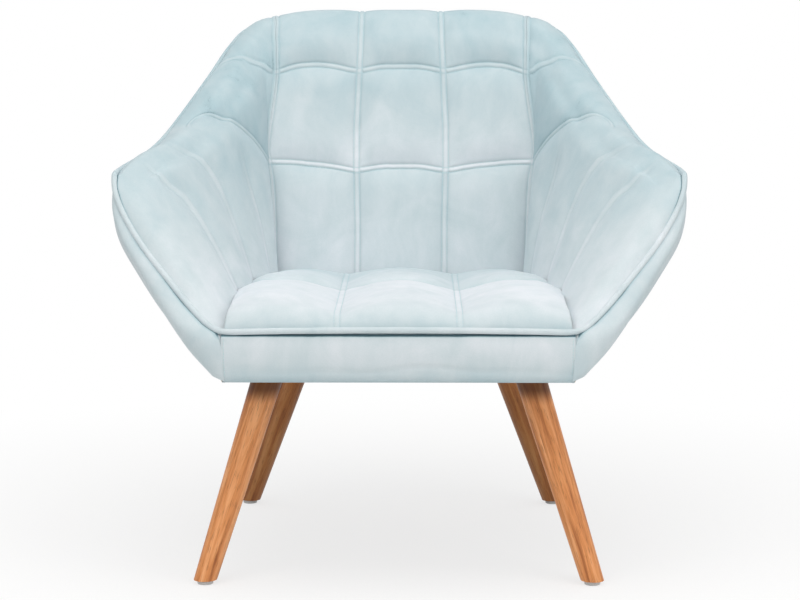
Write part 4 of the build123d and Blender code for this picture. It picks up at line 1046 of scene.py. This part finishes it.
def makeDustCover(d):
    low, high = (np.array(corner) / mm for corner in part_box("dust_cover"))
    axes = stationAxes(np.linspace(0, armFront, 60))
    edge = onStation(axes, -d["inset"], levelY(axes, chairLines["underside"], -d["inset"]))
    edge = edge[np.argsort(edge[:, 1])]
    ys = np.linspace(low[1], high[1], int((high[1] - low[1]) / d["step"]))[:, None]
    shares, along = np.linspace(-1, 1, d["columns"]), np.linspace(-1, 1, len(ys))[:, None]
    drop = d["sag"] * clamp((1 - shares ** 2) * (1 - along ** 2))
    points = stacked(np.interp(ys, edge[:, 1], edge[:, 0]) * shares, ys, low[2] + d["lift"] - drop)
    flat = points.reshape(-1, 3)
    plates = [(x * side, y) for x, y in d["plates"] for side in (-1, 1)]
    faces, area = [], 0
    for face in gridFaces(*points.shape[:2]):
        p = flat[list(face)]
        if all(np.abs(p.mean(0)[:2] - plate).max() > d["window"] for plate in plates):
            faces.append(face[::-1])
            area += np.linalg.norm(np.cross(p[2] - p[0], p[3] - p[1])) / 2
    piece = newPiece("dust_cover_cloth", points, faces, plain["spunBondedPolypropylene"], ["dust_cover"])


makeDustCover(dustCover)
print("dust cover made")


# Hidden soft parts: seat foam, its edge roll and the felt over the springs
slabs = {
    "seat_foam_block": {"node": "seat_foam", "finish": "cutSeatFoam", "slot": "foam",
                        "crown": .06, "rounding": .1, "fill": 1.0},
    "front_edge_roll_foam": {"node": "front_edge_roll", "finish": "cutSeatFoam", "slot": "foam",
                             "crown": .1, "rounding": 0, "fill": 1.0},
    "spring_felt_pad": {"node": "spring_felt", "finish": "needledFelt", "slot": "felt",
                        "crown": 0, "rounding": 0, "fill": .3},
}


def makeSlab(name, slab, count=25, edge=.04):
    low, high = (np.array(corner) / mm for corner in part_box(slab["node"]))
    middle, reach = (low + high) / 2, (high - low) / 2
    line = np.sin(np.linspace(-np.pi / 2, np.pi / 2, count))
    x, y = np.meshgrid(line, line, indexing="ij")
    pull = 1 - slab["rounding"] * (1 - np.cos(np.pi * y / 2))
    border = clamp(np.minimum(1 - np.abs(x), 1 - np.abs(y)) / edge) ** .5
    top = middle[2] + reach[2] * (border * (1 - slab["crown"] * (x ** 2 + y ** 2) / 2))
    x = middle[0] + reach[0] * x * (1 - slab["rounding"] * clamp(y) ** 2)
    y = middle[1] + reach[1] * y * pull / pull.max()
    points = np.stack([stacked(x, y, z) for z in (top, middle[2] - reach[2] * border)])
    faces = [face[::-1] for face in gridFaces(count, count)] + gridFaces(count, count, start=count * count)
    newPiece(name, points, faces, plain[slab["finish"]], [slab["node"]])


for name, slab in slabs.items():
    makeSlab(name, slab)
print("hidden pads made")


# Finishes of the CAD pieces that stay
legAxes = {"front_leg_right": (88, -53, -285), "front_leg_left": (-88, -53, -285),
           "rear_leg_right": (100, 107, -285), "rear_leg_left": (-100, 107, -285)}
grainShift = np.array([.31, .17, .23])      # so that no two legs have the same figure
nodeFinishes = {
    "injectionMouldedPolypropylene": ["glides"],
    "zincPlatedSteel": ["frame_screws", "panel_screws", "plate_screws", "leg_plates", "leg_bolts", "glide_nails",
                        "seat_springs", "dust_staples"],
    "planedPine": ["front_rail", "rear_rail", "side_rail_left", "side_rail_right", "panel_dowels"],
    "sandedBirchPlywood": ["back_panel", "arm_panel_left", "arm_panel_right", "corner_gussets"],
    "mouldedNylonClip": ["spring_clips"],
}


def finishNode(name, material):
    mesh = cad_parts[name].data
    mesh.materials.clear()
    mesh.materials.append(material)


for finish, names in nodeFinishes.items():
    for name in names:
        finishNode(name, plain[finish])
# the rear legs take a darker tint: painted shade under the seat
for count, (name, axis) in enumerate(legAxes.items()):
    finishNode(name, makeWood("oiledWood_" + name, woodLook, axis, grainShift * count, woodLook[name.split("_")[0]]))
print("frame pieces finished")


# Stage: pale floor that runs out to white, soft light from above and in front, the photograph's camera
stage = {"floorSize": 14000, "whiteRange": (.45, 1.3), "paperShare": .28, "world": .46, "lampColour": (1.0, .985, .965),
         # place, aim, size, power
         "lamps": {"keyWindow": ((-1.5, -2.6, 2.0), (0, 0, .45), (2.4, 1.8), 20),
                   "fillWindow": ((2.2, -2.0, 1.6), (0, 0, .45), (2.2, 1.8), 20),
                   "topPanel": ((0, -.7, 2.9), (0, -.05, .4), (2.6, 2.2), 46)}}


def seenDirectly(tree):
    path = addNode(tree, "LightPath").outputs
    seen = addNode(tree, "Math", {"operation": "MAXIMUM"}, {0: path["Is Camera Ray"], 1: path["Is Glossy Ray"]})
    return addNode(tree, "Math", {"operation": "MAXIMUM"}, {0: seen, 1: path["Is Transmission Ray"]})


def makeFloor():
    corners = [(x, y, 0) for x, y in ((-1, -1), (1, -1), (1, 1), (-1, 1))]
    floor = newMesh("studio_floor", np.array(corners) * stage["floorSize"], [(0, 1, 2, 3)])
    material = plain["whitePaperSweep"]
    tree = material.node_tree
    where, shader = tree.nodes["Texture Coordinate"].outputs["Object"], tree.nodes["Principled BSDF"]
    # the paper runs out to plain white away from the chair and its shadow
    distance = addNode(tree, "VectorMath", {"operation": "LENGTH"}, {0: where}).outputs["Value"]
    far = addRange(tree, distance, stage["whiteRange"],
                   {"interpolation_type": "SMOOTHSTEP", "To Min": 1 - stage["paperShare"]})
    share = addNode(tree, "Math", {"operation": "MULTIPLY"}, {0: far, 1: seenDirectly(tree)})
    white = addNode(tree, "Emission", {"Strength": 1.0})
    mix = addNode(tree, "MixShader", links={0: share, 1: shader, 2: white})
    setNode(tree, tree.nodes["Material Output"], {}, {"Surface": mix})
    floor.data.materials.append(material)


def addLamp(name, place, aim, size, power):
    lamp = bpy.data.lights.new(name, "AREA")
    lamp.shape = "RECTANGLE"
    lamp.size, lamp.size_y = size
    lamp.energy = power
    lamp.color = stage["lampColour"]
    holder = linkObject(name, lamp)
    holder.location = place
    holder.rotation_euler = (Vector(aim) - Vector(place)).to_track_quat("-Z", "Y").to_euler()


def makeWorld():
    world = bpy.data.worlds.new("softStudio")
    world.use_nodes = True
    tree = world.node_tree
    strength = addRange(tree, seenDirectly(tree), (0, 1), {"To Min": stage["world"], "To Max": 1.0})
    setNode(tree, tree.nodes["Background"], {"Color": (1, 1, 1, 1)}, {"Strength": strength})
    bpy.context.scene.world = world


camera = {"place": (.024, -3.283, .8), "pitch": 7.6, "yaw": .42, "focalPixels": 2255, "imageWidth": 800, "sensor": 36.0}


def makeCamera(c):
    lens = bpy.data.cameras.new("photoCamera")
    lens.sensor_width = c["sensor"]
    lens.lens = c["focalPixels"] * c["sensor"] / c["imageWidth"]
    holder = linkObject("photoCamera", lens)
    holder.location = c["place"]
    holder.rotation_euler = (radians(90 - c["pitch"]), 0, radians(c["yaw"]))
    bpy.context.scene.camera = holder


makeFloor()
for name, lamp in stage["lamps"].items():
    addLamp(name, *lamp)
makeWorld()
makeCamera(camera)
bpy.context.scene.view_settings.view_transform = "Standard"
print("stage ready")
